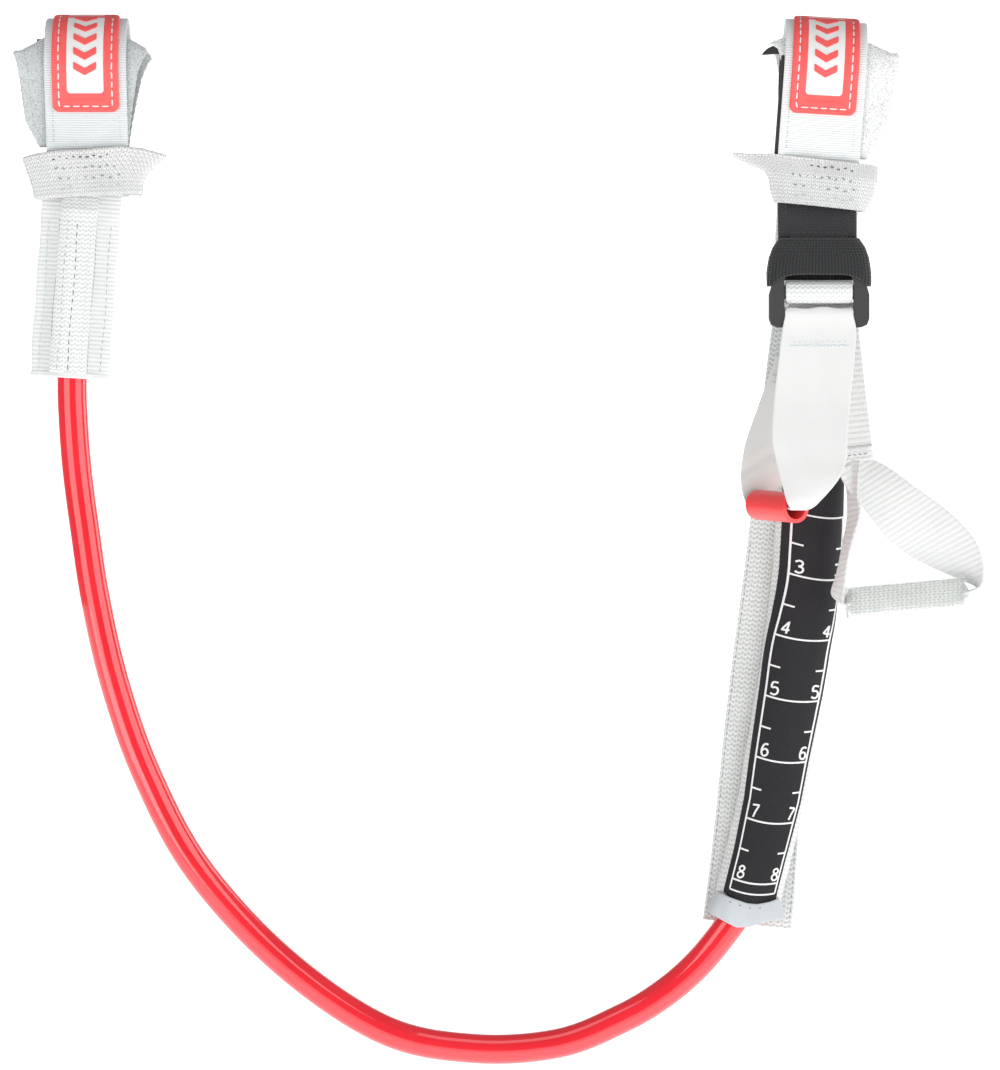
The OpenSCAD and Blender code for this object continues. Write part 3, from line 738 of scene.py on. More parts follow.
def boom_strap(prefix, place, foot, body, flap, ear):
    """Everything that goes round the boom on one side."""

    def name(word):
        return f"{prefix}_{word}"

    def lie(p, x=0.0):
        """Points in place from x across the strap and p in Y and Z."""
        return place(x, p[..., 0], p[..., 1])

    # The adjustable strap takes lighter copies of its cloth and pad fur as painted light; the fixed strap's pad
    # fur is a darker copy, as painted shade.
    cloth, fur = (strap_cloth, pile_painted_shade) if prefix == "fixed" else (strap_painted_light, pile_painted_light)
    # Flap strap with a slight pucker below the badge
    start = 90.7
    top = wrap_length(STRAP_R, foot, start, foot - 0.4)
    s = np.arange(0, top + 2.6, 0.5)[:, None]
    p, n = wrap(STRAP_R, foot, start, s)
    u = across(STRAP_WIDE, 16)
    lift = 0.35 * np.exp(-(((s - top + 7) / 3.2) ** 2)) * np.cos(u / 5.2)
    strap = slab(name("strap_front"), lie(p + n * lift[..., None], u), STRAP_THICK, cloth)
    settle(strap, flap, "strap_grey", name("flap_strap"))
    q, _ = wrap(STRAP_R + 0.78, foot, start, np.arange(16, top - 0.5, 1))
    for side, letter, thread in ((-1, "l", thread_grey), (1, "r", thread_blue)):
        sew(name(f"strap_seam_{letter}"), flap, "strap_grey", lie(q, side * 13.6), 2.1, (1.5, 0.2), thread)
    # Back strap
    q, _ = wrap(STRAP_R, foot, 90, np.arange(0, wrap_length(STRAP_R, foot, 90, foot) + 0.5, 0.6))
    q[:, 0] *= -1
    if prefix == "fixed":
        q = np.vstack([q[:-2], [(STRAP_GAP, z) for z in np.arange(-foot - 1.5, -foot - 20, -1.0)]])
    back = band(name("strap_back"), lie(q), place.axes[0], STRAP_WIDE, STRAP_THICK, cloth, 0.6)
    settle(back, body, "strap_grey", name("back_strap"))
    # Liner
    a = np.radians(np.linspace(143, 397, 100))[:, None]
    ring = lie(LINER_R * np.hstack([np.cos(a), np.sin(a)]), ear["liner"])
    liner = band(name("liner_rubber"), ring, place.axes[0], 36, 0.8, liner_rubber, 0.7)
    settle(liner, body, "liner_rubber", name("liner"))
    # Hook patch under the flap
    span = (0, wrap_length(HOOK_R, foot, 150, foot - 2))
    hooks = patch(name("hooks"), place, foot, HOOK_R, 150, span, 28.5, 1.0, hook_tape, soft_edge(0.5, 0.3))
    settle(hooks, flap, "hook_grey", name("hook_patch"))
    # Rubber badge with a stitched groove, a white panel and plain chevrons
    end = wrap_length(BADGE_R, foot, BADGE_FROM, 20.5)
    at = (place, foot, BADGE_R, BADGE_FROM)
    badge = patch(name("badge_rubber"), *at, (0, end), BADGE_WIDE, 3.0, rubber, badge_height)
    settle(badge, flap, "badge_rubber", name("badge"))
    run, edge = end - GROOVE, BADGE_WIDE / 2 - GROOVE
    track = [(-edge, t) for t in np.arange(1.5, run - 0.6, 1.0)]
    track += [(x, run) for x in np.arange(-10.4, 10.41, 1.0)]
    track += [(edge, t) for t in np.arange(run - 0.8, 1.5, -1.0)]
    x, t = np.array(track).T
    q, m = wrap(BADGE_R, foot, BADGE_FROM, t)
    line = lie(q + m * PANEL_RISE, x)
    sew(name("badge_stitches"), flap, "inlay_white", line, 3.9, (3.0, 0.75), thread_white, 0.05)
    at = (place, foot, BADGE_R + PANEL_RISE, BADGE_FROM)
    panel = patch(name("badge_panel"), *at, (1.6, end - 6.0), 15, 1.6, panel_white, soft_edge(0.3, 0.2))
    settle(panel, flap, "inlay_white", name("badge_inlay"))
    at = (place, foot, BADGE_R + 1.52, BADGE_FROM)
    for k in range(5):
        start = 4.2 + CHEVRON_STEP * k
        if start + 6.0 > end - 7.5:
            break
        shape = ((start, start + 3.0), 9.4, 0.5, rubber, soft_edge(0.42, 0.25), 2.6)
        settle(patch(name(f"badge_chevron{k}"), *at, *shape), flap, "badge_rubber")
    # Pile pad with ears that stick out on both sides, in front and behind
    total = wrap_length(PAD_R, foot, ear["start"], foot - 0.6)
    rows = np.concatenate([[0, 0.2, 0.5, 0.9], np.linspace(1.5, total - 0.2, int(total / 0.55))])
    t = np.concatenate([[0, 0.006, 0.015, 0.03], np.linspace(0.05, 0.95, 34), [0.97, 0.985, 0.994, 1]])
    q, _ = wrap(PAD_R, foot, ear["start"], rows)
    rows = rows[:, None]
    heights = [-foot, -24, -5, 5, 12]
    left, right = (np.interp(q[:, 1], heights, ear[word])[:, None] for word in ("left", "right"))
    for side, word in ((1, "front"), (-1, "rear")):
        x = left + (right - left) * t
        wild = rng.normal(0, 0.06, x.shape)
        rim = [0, 1, -2, -1]
        x[:, rim] += wild[:, rim] + 0.1 * np.sin(rows * 1.9)
        over = part((np.abs(x) - 17.5) / 9)
        curl = over**2 * (1.5 + 1.2 * np.sin(rows / 5.0 + 1))
        tip = over * part(1 - rows / 7) * ear["curl"]
        y = side * (q[:, :1] - curl * 0.6 - tip + rng.normal(0, 0.05, x.shape))
        grid = points(x, y, q[:, 1:] - tip * 0.8 - over * part(1 - rows / 9) * ear["drop"])
        pad = slab(name(f"pad_{word}"), place(grid), 0.95, fur)
        settle(pad, body, "pad_pile", *([name("pad")] if side == 1 else []))
        if side == 1:
            for c, thread in ((5, thread_grey), (-6, yarn_white)):
                seam = place(grid[4:-3:2, c] + [0, -0.55, 0])
                sew(name(f"pad_seam{abs(c)}"), body, "pad_pile", seam, 1.5, (1.0, 0.22), thread, 0.1)
            rim = np.vstack([grid[0, :7], grid[0, -7:], grid[2:14:3, 0], grid[2:14:3, -1]])
            fray(name("pad_fray"), place(rim), body, "pad_pile", yarn_white, 1.0, 2.0, 46, 0.07)


# The pad's ends are given at five heights, from its foot up
boom_strap("fixed", here, 35, "line", "fixed_flap", {
    "start": 144, "left": [-19.5, -25.1, -27.3, -29.2, -28.2], "right": [16.6, 17.9, 21.2, 25.4, 24.2],
    "curl": 2.2, "drop": 4.0, "liner": -2.0,
})
boom_strap("adjust", in_adjust, 38, "adjust_end", "adjust_flap", {
    "start": 143, "left": [-16.4, -16.6, -16.8, -19.6, -26.0], "right": [19.5, 26.4, 29.0, 30.2, 28.4],
    "curl": 1.6, "drop": 3.0, "liner": 0.5,
})
# The liner's black edge shows down the left of this strap, and as a small curled tip above
q, _ = wrap(16.1, 38, 172, np.arange(0, wrap_length(16.1, 38, 172, 37.5), 0.7))
line = in_adjust(-17.15, q[:, 0], q[:, 1])
edge = band("adjust_liner_edge", line, in_adjust.axes[0], 1.1, 0.9, liner_rubber, 0.7, 3)
settle(edge, "adjust_end", "liner_rubber")
tip = [
    (-18.6, -13.0, 4.0, 0.4, 0.3, 1.2), (-21, -12.4, 4.4, 0.4, 0.3, 1.9),
    (-23.6, -11.2, 3.7, 0.5, 0.2, 1.4), (-25.6, -10.0, 2.6, 0.3, 0.1, 0.4),
]
tip = [(in_adjust(row[:3]), row[3:] @ in_adjust.axes) for row in np.array(tip)]
settle(stationed("adjust_liner_tip", tip, 0.8, liner_rubber, 0.5, 6), "adjust_end", "liner_rubber")


# ---- Keepers ----

KEEPER_DEEP = 6.6


def around(heights, count):
    """Heights across a closed band, with the cosine and sine of the angles round it."""
    turn = np.linspace(0, 2 * math.pi, count + 1)[:-1, None]
    return heights[None, :], np.cos(turn), np.sin(turn)


def blunt(c, power):
    return np.sign(c) * np.abs(c) ** power


def keeper(prefix, body, lean, outline):
    """A webbing band round the feet of a strap. outline gives its left and right ends at five heights."""
    place = Place(box_centre(f"{prefix}_keeper"), lean)
    heights = np.concatenate([[-9.2, -9.0, -8.7, -8.2], np.linspace(-7.4, 8.3, 26), [9.1, 9.6, 9.9, 10.1]])
    h, c, s = around(heights, 220)
    left, right = (np.interp(h, [-9.2, -4, 0, 4, 9.2], outline[side]) for side in ("left", "right"))
    x = np.where(c > 0, right * blunt(c, 0.72), -left * blunt(c, 0.72))
    y = -KEEPER_DEEP * blunt(s, 0.8) * (1 - 0.55 * part((np.abs(x) - 15) / 14))
    y += 0.25 * np.sin(x / 3.1 + h / 5) * (np.abs(s) > 0.3)
    sides = (x, "rise_right"), (-x, "rise_left")
    rise = np.where(x > 0, *(np.interp(k, [0, 14, 22, 31], outline[word]) for k, word in sides))
    droop = outline["gap"] * part((x - 16) / 12) * (s < 0)
    grid = points(x, y, h + rise * (0.5 + h / 18.4) - droop * (1 - (h + 9.2) / 18.4))
    ring = slab(f"{prefix}_keeper_band", place(grid), 2.0, webbing_band, closed=True)
    settle(ring, body, WHITE, f"{prefix}_keeper")
    # Rows of thread across the front
    rows = [
        (6.9, thread_dark, 2.9), (2.6, thread_grey, 3.1), (-1.6, thread_grey, 3.6), (-5.6, thread_blue, 3.4),
    ]
    for k, (z, thread, gap) in enumerate(rows):
        x = np.linspace(-15.5 + k, 13.5, 24)
        thin = 1 - 0.55 * np.maximum(0, (np.abs(x) - 15) / 14)
        y = -(KEEPER_DEEP + 1.05) * thin * np.minimum(1, 1 - (np.abs(x) / 24) ** 4) ** 0.6
        row = place(x, y, z + 0.5 * np.sin(x + k))
        sew(f"{prefix}_keeper_row{k}", body, WHITE, row, gap, (1.3, 0.62), thread, 0.25, 0.3)


keeper("fixed", "line", -3, {
    "left": [-22.4, -23.0, -24.0, -25.2, -26.4], "right": [20.2, 20.8, 22.6, 26.2, 31.0],
    "rise_left": [0, 0, -0.6, -2.5], "rise_right": [0, 0.4, -0.6, -3.4], "gap": 1.8,
})
keeper("adjust", "adjust_end", 6, {
    "left": [-18.4, -20.6, -21.6, -24.0, -37.5], "right": [17.8, 19.8, 20.6, 21.0, 20.6],
    "rise_left": [0, 0, 0.4, -0.6], "rise_right": [0, 0, 0, 0], "gap": 0.0,
})


# ---- Fixed sleeve: webbing folded round the tube, with a seam down its front ----

BOTTOM = -74.0


def under_keeper(h):
    """How much the sleeve is pressed flat where the keeper covers it."""
    return 1 - 0.42 * part((h + 6) / 6)


def drift(h):
    """How far the sleeve leans away from its own axis."""
    return 0.012 * (h - 16)


def sleeve_loop(name, wide, edge, peak, spread, heights, material, thick, squeeze):
    """The folded webbing as one closed loop: edge and peak are its half depths at the side and the middle."""
    x = wide / 2 * np.cos(np.linspace(0, math.pi, 90))
    y = edge + (peak - edge) * np.exp(-np.abs(x / spread) ** 2.6)
    y = y * part(1 - (2 * np.abs(x) / wide) ** 10) ** 0.5
    x, y = (np.concatenate([k, m[-2:0:-1]])[:, None] for k, m in ((x, x), (-y, y)))
    h = heights[None, :]
    x = x * (1 - squeeze * part((BOTTOM + 8 - h) / 8)) + 0.15 * np.sin(h / 4.1) + drift(h)
    grid = in_sleeve(x, y * under_keeper(h), h)
    return slab(name, grid, thick, material, closed=True, swap=True)


def ladder(low, high, step=0.8):
    """Heights from low to high, with more of them near both ends."""
    ends = [low, low + 0.2, low + 0.5], [high - 0.5, high - 0.2, high]
    return np.concatenate([ends[0], np.arange(low + 1, high - 0.8, step), ends[1]])


sleeve = sleeve_loop("sleeve_fold", 31.2, 1.5, 7.6, 7.0, ladder(BOTTOM, 16.5), webbing_fold, 1.3, 0.04)
settle(sleeve, "line", WHITE, "fixed_sleeve")
heights = ladder(BOTTOM - 0.6, BOTTOM + 1.9, 0.5)
settle(sleeve_loop("sleeve_hem", 30.6, 2.0, 8.2, 7.2, heights, webbing, 1.5, 0.0), "line", WHITE)
z = np.arange(-72.5, 2.0, 0.7)[:, None]
x = across(15.0, 16)
y = -(8.5 - 0.045 * x**2 - 0.55 * np.exp(-((x / 0.7) ** 2))) * under_keeper(z)
tape = slab("sleeve_seam", in_sleeve(x - 0.4 + drift(z), y, z), 0.9, webbing_v)
settle(tape, "line", WHITE, "sleeve_seam_tape")
h = np.arange(-72, -8, 1.0)
# Rows of stitches on the seam tape: the dark centre row is stitching and also painted shade of the seam gap, and
# the last two rows, at the tape's edges, are thread and also painted shadow lines along the raised strip's sides.
for k, (sx, sy, thread, thin, pitch, long) in enumerate([
    (-0.4, 8.5, thread_dark, 0.42, 3.4, 2.0), (-12.6, 2.6, thread_blue, 0.26, 2.7, 1.7),
    (12.8, 2.6, thread_grey, 0.24, 2.9, 1.8), (-4.6, 8.3, thread_grey, 0.22, 3.3, 1.3),
    (5.2, 8.1, yarn_white, 0.3, 2.6, 1.9), (-8.1, 5.3, thread_grey, 0.24, 1.9, 1.6),
    (7.3, 5.3, thread_grey, 0.24, 1.9, 1.6),
]):
    line = in_sleeve(sx + 0.25 * np.sin(h / 7 + k) + drift(h), -sy, h)
    sew(f"sleeve_seam_row{k}", "line", WHITE, line, pitch, (long, thin), thread, 0.12)


# ---- Adjustable end: webbing above the buckle, hanger and scale sleeve ----

ALONG_X = (1, 0, 0)
bend = np.array([top_bar[0], -0.6, -57.5])
reach = top_bar - bend
line = np.vstack([[top_bar[0], -0.6, -43], bend + [0, 0, 3], bend, bend + reach * 0.42, bend + reach * 0.8])
line = smooth(line - [0.5, 0, 0], 6)
wide = band("black_webbing_wide", line, ALONG_X, 32.3, 2.8, strap_dark, 0.6, 18, 0.35)
settle(wide, "adjust_end", "webbing_black", "black_webbing")
toward = unit(-reach)
first = math.atan2(toward[2], toward[1])
ring = arc(top_bar, 2.9, np.linspace(first + 0.5, first + 2 * math.pi - 0.5, 30))
line = np.vstack([[top_bar + toward * 7 + [0, -0.7, 0]], ring, [top_bar + toward * 7 + [0, 0.7, 0]]])
settle(band("black_webbing_eye", line, ALONG_X, 24, 1.5, strap_dark, 0.5), "adjust_end", "webbing_black")
for side, letter in ((-1, "l"), (1, "r")):
    edge = [bend + [side * 13.4, -2.1, 12 - 2 * k] for k in range(6)]
    edge += [bend + reach * k * 0.1 + [side * 13.4, -1.9, 0] for k in (1, 2, 3)]
    sew(f"black_webbing_seam_{letter}", "adjust_end", "webbing_black", edge, 2.4, (1.7, 0.24), thread_dark)
path = [(0, 4.05, -40), (0, 4.05, -58), (-0.5, 8.0, -71), (-0.2, 12.6, -85), (0, 16.3, -96.4)]
path = np.array(path) + [top_bar[0], 0, 0]
hanger = band("hanger", smooth(path, 8), ALONG_X, STRAP_WIDE, STRAP_THICK, webbing_v, 0.7, 14)
settle(hanger, "adjust_end", WHITE, "hanger_webbing")

z = ladder(-258.6, -0.6, 1.0)[:, None]
x = across(33.5, 18)
flare = 3.2 * part((-190 - z) / 60) * part(x / 16)
grid = points(x + 0.35 * np.sin(z / 21) + flare, 7.5 + 0.35 * np.sin(z / 17) * np.cos(x / 9), z)
settle(slab("sleeve_back", in_pocket(grid), 1.6, webbing_grey), "adjust_end", WHITE, "sleeve_base")
h = np.arange(-255, -100, 1.5)
for side, letter in ((-1, "l"), (1, "r")):
    x = side * 15.6 + 0.35 * np.sin(h / 21) + 3.0 * (side > 0) * part((-190 - h) / 60)
    line = in_pocket(x, 6.55, h)
    sew(f"sleeve_back_seam_{letter}", "adjust_end", WHITE, line, 2.9, (1.9, 0.24), thread_grey, 0.1)

# The tube inside pushes the front of the sleeve out, and to the right half-way up: heights and shifts
BOW = (
    [-262, -244, -225, -206, -190, -160, -132, -110, -93, -60, -14],
    [0.4, 0.9, 3.4, 5.5, 6.2, 8.0, 9.0, 8.6, 7.6, 4.5, 3.0],
)


def front_skin(z, phi, out=0.0):
    """Points on the sleeve's bulging front: phi is the angle round, 0 at the crest."""
    y = 5.4 - (12.6 + out) * np.maximum(np.cos(phi), 0) ** 0.9
    return points(np.interp(z, *BOW) + (13.3 + out) * np.sin(phi), y, z)


heights, turn = ladder(-255.0, -14, 1.1), np.radians(np.linspace(-89, 89, 54))
shell = slab("scale_sleeve_skin", in_pocket(front_skin(heights[:, None], turn)), 1.0, webbing_grey)
settle(shell, "adjust_end", WHITE, "scale_sleeve")

LABEL_LEFT, LABEL_RIGHT, LABEL_R = -12.6, 12.8, 13.45


def on_label(x, z, out=0.0):
    """Points on the label, which narrows near its foot and turns a little to the right above."""
    x = x * (1 - 0.19 * part((-150 - z) / 80))
    turned = 0.28 * (1 - np.cos(math.pi * part((z + 146) / 34))) / 2
    return front_skin(z, np.arcsin(np.clip(x / LABEL_R, -0.985, 0.985)) + turned, 0.95 + out)


def smile(x, sag=1.5):
    """How far a printed cross line hangs below its ends."""
    return -sag * (1 - ((x - 0.6) / 11.5) ** 2)


h = ladder(-246.8, -15.5, 0.7)[:, None]
x = across(LABEL_RIGHT - LABEL_LEFT, 30) + (LABEL_LEFT + LABEL_RIGHT) / 2
grid = on_label(x, h + smile(x, 3.2) * part((-236 - h) / 10))
label = slab("scale_label_cloth", in_pocket(grid), 0.5, label_cloth)
settle(label, "adjust_end", "label_black", "scale_label")


def printed(shapes):
    """White print on the label. Each shape is a line of points [x, z] with a width."""
    verts, faces, count = [], [], 0
    t, lift = np.array([-1, -0.6, 0.6, 1]), np.array([0.24, 0.36, 0.36, 0.24])
    for stops, width in shapes:
        p = even(np.asarray(stops, float)[:, [0, 1, 1]] * [1, 1, 0], 0.7)[:, :2]
        d = unit(np.gradient(p, axis=0))
        side = np.stack([-d[:, 1], d[:, 0]], 1) * width / 2
        q = p[:, None] + side[:, None] * t[:, None]
        verts.append(on_label(q[..., 0], q[..., 1], lift).reshape(-1, 3))
        for k in range(len(p) - 1):
            first = count + 4 * k
            faces += [[q, q + 1, q + 5, q + 4] for q in range(first, first + 3)]
        count += 4 * len(p)
    return make("scale_print", in_pocket(np.vstack(verts)), faces, None, print_white)


# Digits as strokes, in hundredths of a digit's height
STROKES = {
    2: [[(0, 82), (12, 95), (32, 100), (52, 93), (60, 75), (52, 55), (0, 0), (64, 0)]],
    3: [
        [(0, 88), (25, 100), (50, 92), (56, 74), (44, 58), (22, 53)],
        [(22, 53), (50, 46), (60, 26), (50, 6), (25, 0), (0, 12)],
    ],
    4: [[(44, 0), (44, 100), (0, 30), (64, 30)]],
    5: [[
        (56, 100), (10, 100), (4, 56), (30, 63), (54, 52), (60, 30), (50, 7), (25, 0), (0, 10),
    ]],
    6: [[
        (54, 92), (34, 100), (12, 85), (2, 50), (4, 20), (20, 1), (40, 1), (57, 17),
        (57, 40), (42, 56), (20, 55), (4, 40),
    ]],
    7: [[(0, 100), (60, 100), (36, 50), (22, 0)]],
    8: [[
        (30, 54), (8, 66), (6, 86), (30, 100), (54, 86), (52, 66), (30, 54), (4, 40),
        (2, 14), (30, 0), (58, 14), (56, 40), (30, 54),
    ]],
}
ANGULAR = (4, 7)
FIRST_MARK, MARK_STEP, MARK_COUNT, LAST_DIGIT = -239.3, 25.4, 7, 8
RULE_LEFT, RULE_RIGHT = -9.9, 11.4
DIGIT_WIDE, DIGIT_TALL = 4.6, 5.0


def cross_line(z, start=RULE_LEFT, stop=RULE_RIGHT, count=20, width=0.75):
    return [(x, z + smile(x)) for x in np.linspace(start, stop, count)], width


foot = FIRST_MARK - 4.4
top_mark = FIRST_MARK + (MARK_COUNT - 1) * MARK_STEP
shapes = [([(x, foot), (x, top_mark)], 0.72) for x in (RULE_LEFT, RULE_RIGHT)]
shapes.append(cross_line(foot, width=0.72))
for k in range(MARK_COUNT - 1):
    z, digit = FIRST_MARK + k * MARK_STEP, LAST_DIGIT - k
    shapes.append(cross_line(z))
    shapes.append(cross_line(z + MARK_STEP / 2, stop=RULE_LEFT + 4.3, count=8))
    shapes.append(cross_line(z + MARK_STEP / 2, start=RULE_RIGHT - 3.4, count=8))
    for at_x, squash in ((RULE_LEFT + 1.9, 1.0), (RULE_RIGHT - 3.3, 0.9)):
        low = z + 1.3 + smile(at_x + 1.5)
        for stroke in STROKES[digit]:
            dots = [
                (at_x + px / 100 * DIGIT_WIDE * squash, low + DIGIT_TALL * py / 100, 0) for px, py in stroke
            ]
            shapes.append((np.array(dots if digit in ANGULAR else smooth(dots, 3))[:, :2], 0.82))
shapes.append(cross_line(top_mark, width=0.72))
settle(printed(shapes), "adjust_end", "print_white", "scale_marks")

# Cuff: smooth cloth folded round the mouth of the sleeve, drawn in round the tube
CUFF_TOP = ([-13, -8, 0, 4, 9, 13], [0.2, -1.4, -3.2, -3.1, -1.6, 0.2])
CUFF_FOOT = ([-16, -11, -3.5, 2.5, 7, 16], [0, -2.3, -5.2, -4.4, -1.9, 0.3])
heights = np.concatenate([[-254.2, -254.0, -253.6], np.linspace(-253, -246.4, 14), [-246.0, -245.8]])
h, c, s = around(heights, 160)
t = part((h + 254.2) / 8.4)
deep = np.where(s > 0, 8.9 - 0.9 * (1 - t) ** 2, 7.0)
x = (12.1 + 3.6 * (1 - t) ** 0.8) * blunt(c, 0.7) + 0.4
pleat = (0.16 * np.sin(x * 1.1) * (1 - t) + 0.3 * np.sin(x * 0.42 + 1)) * (s > 0)
hang = np.where(s > 0, np.interp(x, *CUFF_FOOT) * (1 - t) + np.interp(x, *CUFF_TOP) * t, 1.5 * (1 - t))
grid = in_pocket(x, 0.25 - deep * blunt(s, 0.6) + pleat, h + hang)
cuff = slab("sleeve_mouth", grid, 1.0, cuff_cloth, closed=True)
settle(cuff, "adjust_end", WHITE, "sleeve_cuff")
x = np.linspace(-9, 10, 20)
line = in_pocket(x, -9.5, -247.6 + np.interp(x, *CUFF_TOP))
sew("sleeve_mouth_seam", "adjust_end", WHITE, line, 4.2, (1.0, 0.3), thread_dark, 0.3)


# ---- Buckle ----

turn = arc(top_bar + [0, 0, -18], 3.85, np.radians(np.arange(60, 286, 5)))
settle(band("bar_turn", turn, ALONG_X, 27.2, 1.5, webbing_v, 0.45, 16), "buckle", WHITE, "bar_webbing")

heights = np.concatenate([[-17.2, -17.0, -16.7], np.linspace(-16.0, 3.0, 28), [3.5, 3.8, 4.0]])
h, c, s = around(heights, 180)
x = np.interp(h, [-17, -13, -9, -4, 0, 2.5, 4], [20.9, 21.0, 20.6, 20.0, 18.6, 16.9, 15.9]) * blunt(c, 0.42)
rise = np.where(s > 0, 1.4 + 4.8 * (1 - part(np.abs(x) / 19.5) ** 5), 4.2) * part((-h - 3) / 14)
cover = slab("elastic_band", in_buckle(x, -4.4 * blunt(s, 0.5), h + rise), 0.95, elastic, closed=True)
settle(cover, "buckle", "elastic_black", "elastic_cover")


# ---- Release ribbon ----

spin = joints["release_handle_spin"]
far = np.array(spin["pos_m"]) * 1000
out = np.array(spin["axis"])
near = far + out * 28
tight = unit(np.cross((0, 0, 1), out)) * 4.0
stations = [
    (far + out * 14, tight * 0.9), (near - out * 2, tight), (near + out * 2.2 - [0, 0, 0.4], tight * 1.02),
    (291.4, -34.6, -180.0, 6.6, 1, 0), (294.2, -31.6, -171, 11.6, 0, 0), (295.0, -28, -163, 14.2, 0, 0),
    (294.6, -24.4, -153.5, 15.3, 0, 0), (296.0, -18.4, -138, 15.5, 0, 0), (298.0, -13.4, -121, 15.4, 0, 0),
    (299.2, -10.2, -110, 15.1, 0, 0),
]
stations += [(stop, (14.0, 0, 0)) for stop in arc(low_bar, 3.1, np.radians(range(180, -1, -30)))]
back_stations = stations[-3:] + [
    (298.6, -4.2, -109, 13.2, 0, 0), (296, -5, -116, 12.6, 0, 0), (291, -5.5, -128, 12.0, 0, 0),
    (286.4, -5.6, -142, 12.4, 0, 0), (282.0, -5.6, -156, 12.8, 0, 0), (278.0, -5.4, -168, 10.6, 1, 0),
    (274.4, -4.6, -175.5, 6.6, 2.2, 0), (far - out * 2.6, tight), (far + out * 1.5, tight),
    (far + out * 12, tight * 0.9),
]


def waves(t, s):
    """Soft waves of the front limb, by place across, -1 to 1, and distance along."""
    swell = 0.35 * np.sin(t * 3.2 + s / 14) + 0.25 * np.cos(t * 7 + s / 9) + 0.5 * t * t
    return part((s - 20) / 25) * swell


def crease(t, s):
    """Soft waves, and a V-shaped crease where the cloth is gathered into the release tube."""
    fold = np.exp(-(((s - 62 - 9 * np.abs(t)) / 2.6) ** 2))
    return 0.3 * np.sin(t * 2.6 + s / 11) * part((s - 12) / 20) + 0.9 * fold * part((s - 40) / 10)


ribbon = stationed("ribbon", stations, 0.8, satin, 0.8, 22, waves)
settle(ribbon, "pull_tab", "ribbon_satin", "release_ribbon")
# The back limb is drawn in the darker satin copy, as painted shade.
settle(stationed("ribbon_back_painted_shade", back_stations, 0.8, satin_back_painted_shade, 0.8, 22, crease), "pull_tab", "ribbon_satin")
x = np.linspace(-12.5, 12.5, 16)
line = points(299.3 + x, -13.1 - 0.15 * np.cos(x), -116 - 0.3 * np.sin(x * 2))
sew("ribbon_seam", "pull_tab", "ribbon_satin", line, 1.7, (1.5, 0.34), thread_blue, 0.5)
x = np.linspace(-11.5, 12.5, 16)
line = points(299.3 + x, -12.6 - 0.15 * np.cos(x), -114.4)
sew("ribbon_seam_top", "pull_tab", "ribbon_satin", line, 2.3, (1.2, 0.26), thread_blue, 0.7)
k = np.arange(14)
edge = points(285.2 - 0.32 * k, -6.6, -110 - 1.6 * k)
fray("ribbon_fray", edge, "pull_tab", "ribbon_satin", thread_blue, 1.1, 1.8, 60, 0.08, (-0.8, -0.2, 0.1))


# ---- Tail webbing, pull loop and clear grip ----

WEBBING_WIDE, WEBBING_THICK = 25.4, 1.2
line = in_tail(0, 0, np.arange(0.0, -59.5, -0.7))
tail = band("tail_strip", line, in_tail.axes[0], WEBBING_WIDE, WEBBING_THICK, webbing, 0.7, 16, 0.2)
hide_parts("tail_webbing")
start, end = (tuple(in_tail(0, 0, h) / 1000) for h in (-2, -54))
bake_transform(tail)
line = in_tail(0, -0.25, np.arange(-58.6, -65.5, -0.5))
block = band("loop_join", line, in_tail.axes[0], WEBBING_WIDE, 2.6, webbing, 0.5, 16)
settle(block, "tail", WHITE, "loop_stitch_block")
x = np.linspace(-11.5, 12, 16)
for k, (h, thread) in enumerate(((-60.4, yarn_white), (-62.2, thread_grey), (-64.0, yarn_white))):
    row = in_tail(x, -1.65, h + 0.4 * np.sin(2 * x + k))
    sew(f"loop_join_row{k}", "tail", WHITE, row, 2.2, (1.5, 0.42), thread, 0.6)

GRIP_LONG, GRIP_TILT, HALF = 50, math.radians(84.9), 5.4
along = np.array([math.sin(GRIP_TILT), 0, math.cos(GRIP_TILT)])
left = box_centre("clear_grip") - along * GRIP_LONG / 2
right = left + along * GRIP_LONG
limb = [
    (313.6, -1.8, -163.4, 6.0, 3, 2.4), (315.6, -1.9, -166.4, 7.0, 3, 3.9),
    (321.4, -2, -171.8, 8.4, 2, 5.2), (329.3, -2.4, -179.2, 9.6, 0, 5.6),
    (338.2, -3.2, -187.8, 10.6, -1, 7.0), (346.7, -4.4, -195.0, 10.8, -3, 6.4),
    (354.1, -5.6, -201.2, 9.4, -4.5, 4.8), (360.6, -6.8, -207.8, 5.6, -5.2, 2.6),
    (right + [5.0, 0, 2.6], (0.8, -HALF, 0.5)), (right + along * 2.0, (0, -HALF, 0)),
    (right - along * 2.5, (0, -HALF, -1)),
]
loop = stationed("loop_strip", limb, WEBBING_THICK, webbing, 0.7, 18)
settle(loop, "tail", WHITE, "loop_webbing")
limb = [
    (left + along * 2.5, (0, -HALF, -1)), (left - along * 1.2, (0, -HALF, -0.8)),
    (left + [-3.2, -0.6, 2.2], (2.2, -HALF + 0.8, -1.6)), (308.8, -7.4, -207.8, 1.8, -4.6, 1.0),
    (311.0, -6.8, -197, 1.5, -5, -0.5), (313.6, -5.6, -185.6, 2.4, -4.6, 1.0),
    (313.2, -4, -176.2, 2.0, -4, -0.6), (312.6, -2.6, -167.5, 3.4, -2.6, 0), (312.0, -1.8, -163, 4.4, -1, 0),
]
settle(stationed("loop_return", limb, WEBBING_THICK, webbing, 0.7, 18), "tail", WHITE)
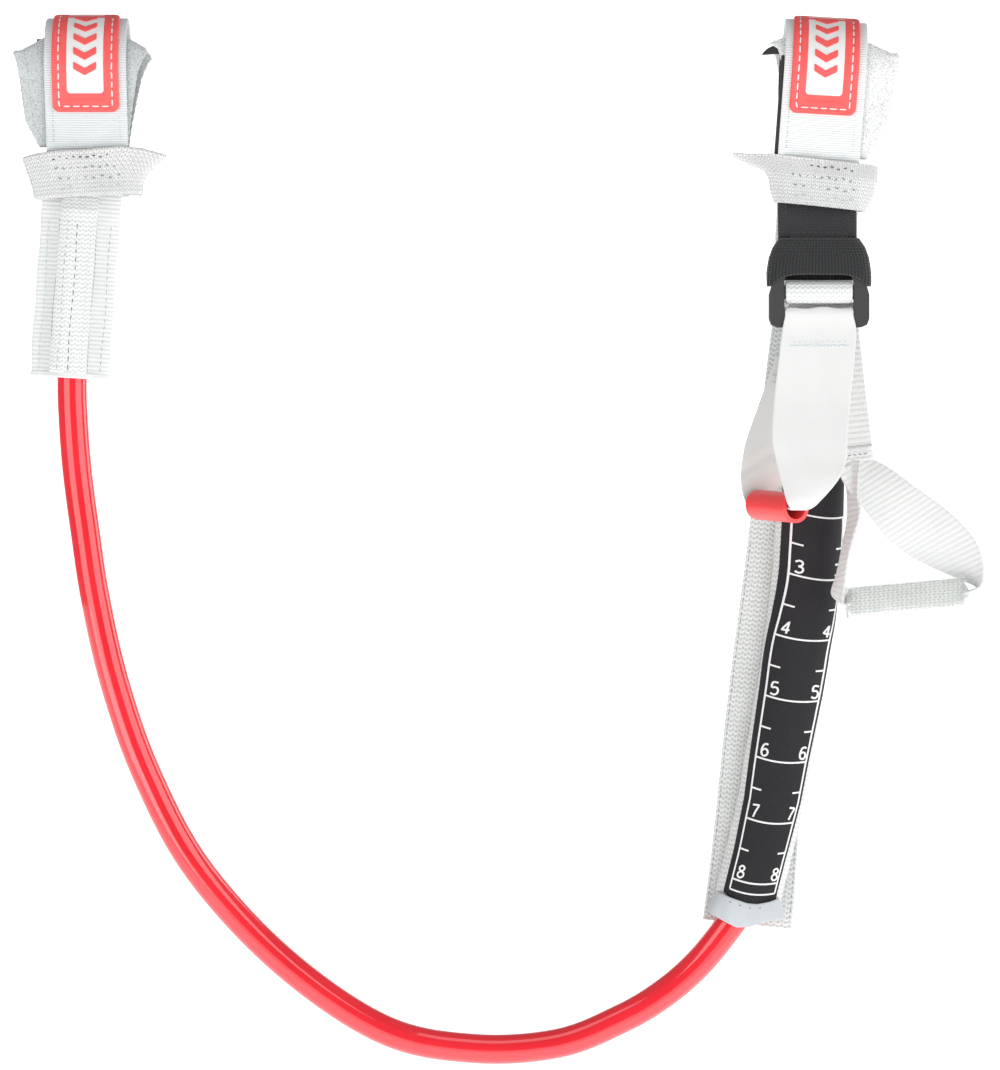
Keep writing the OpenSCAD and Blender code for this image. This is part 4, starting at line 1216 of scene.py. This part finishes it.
edge_on, slanted, flat = (0, -HALF, 0), (0, -HALF * 0.7, -HALF * 0.7), (0, 0, -HALF)
limb = [
    (right + along * 0.8, edge_on), (right - along * 1.5, slanted), (right - along * 4, flat),
    ((left + right) / 2, flat), (left + along * 4, flat), (left + along * 1.5, slanted),
    (left - along * 0.8, edge_on),
]
settle(stationed("loop_in_grip", limb, 1.1, webbing_grip, 0.7, 14), "tail", WHITE)
line = left + along * np.arange(0, GRIP_LONG + 0.1, 1.0)[:, None]
settle(pipe("grip_sleeve", line, 7.2, 6.0, clear), "tail", "grip_clear", "clear_grip")

# The webbing that rises from the end of the tube and turns round the grip bar
path = [(np.interp(h, *BOW), y, h) for y, h in ((0, -147), (0, -110), (0, -60), (-0.2, -24))]
path = in_pocket(smooth(path + [(1.5, -4.0, -10), (0, -8.6, 3)], 10))
rising = band("rising_strip", path, in_pocket.axes[0], WEBBING_WIDE, WEBBING_THICK, webbing_v, 0.9, 14)
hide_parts("rising_webbing")
start, end = (tuple(in_pocket(0, 0, h) / 1000) for h in (-140, -8))
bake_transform(rising)


# ---- Floor and backdrop ----

FLOOR_DROP, FLOOR_REACH, CURVE, WALL_TOP = 700, 5200, 600, 3600
low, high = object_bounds()
floor_z = low[2] * 1000 - FLOOR_DROP
profile = [(-FLOOR_REACH, floor_z), (FLOOR_REACH, floor_z)]
turn = np.radians(range(10, 91, 10))
profile += [(FLOOR_REACH + CURVE * math.sin(a), floor_z + CURVE - CURVE * math.cos(a)) for a in turn]
profile += [(FLOOR_REACH + CURVE, WALL_TOP)]
verts = [(x, y, z) for y, z in profile for x in (-4600, 5000)]
faces = [[2 * k, 2 * k + 1, 2 * k + 3, 2 * k + 2] for k in range(len(profile) - 1)]
g = Graph("paper")
tint = g.ramp(g.noise(4), [(0.2, (0.93, 0.93, 0.93)), (0.8, (0.96, 0.96, 0.96))])
paper = g.finish(
    tint, g.noise(300), 0.1, 0.1, Roughness=0.9, Emission_Color=(1, 1, 1, 1), Emission_Strength=0.78
)
make("backdrop", np.array(verts), faces, None, paper)
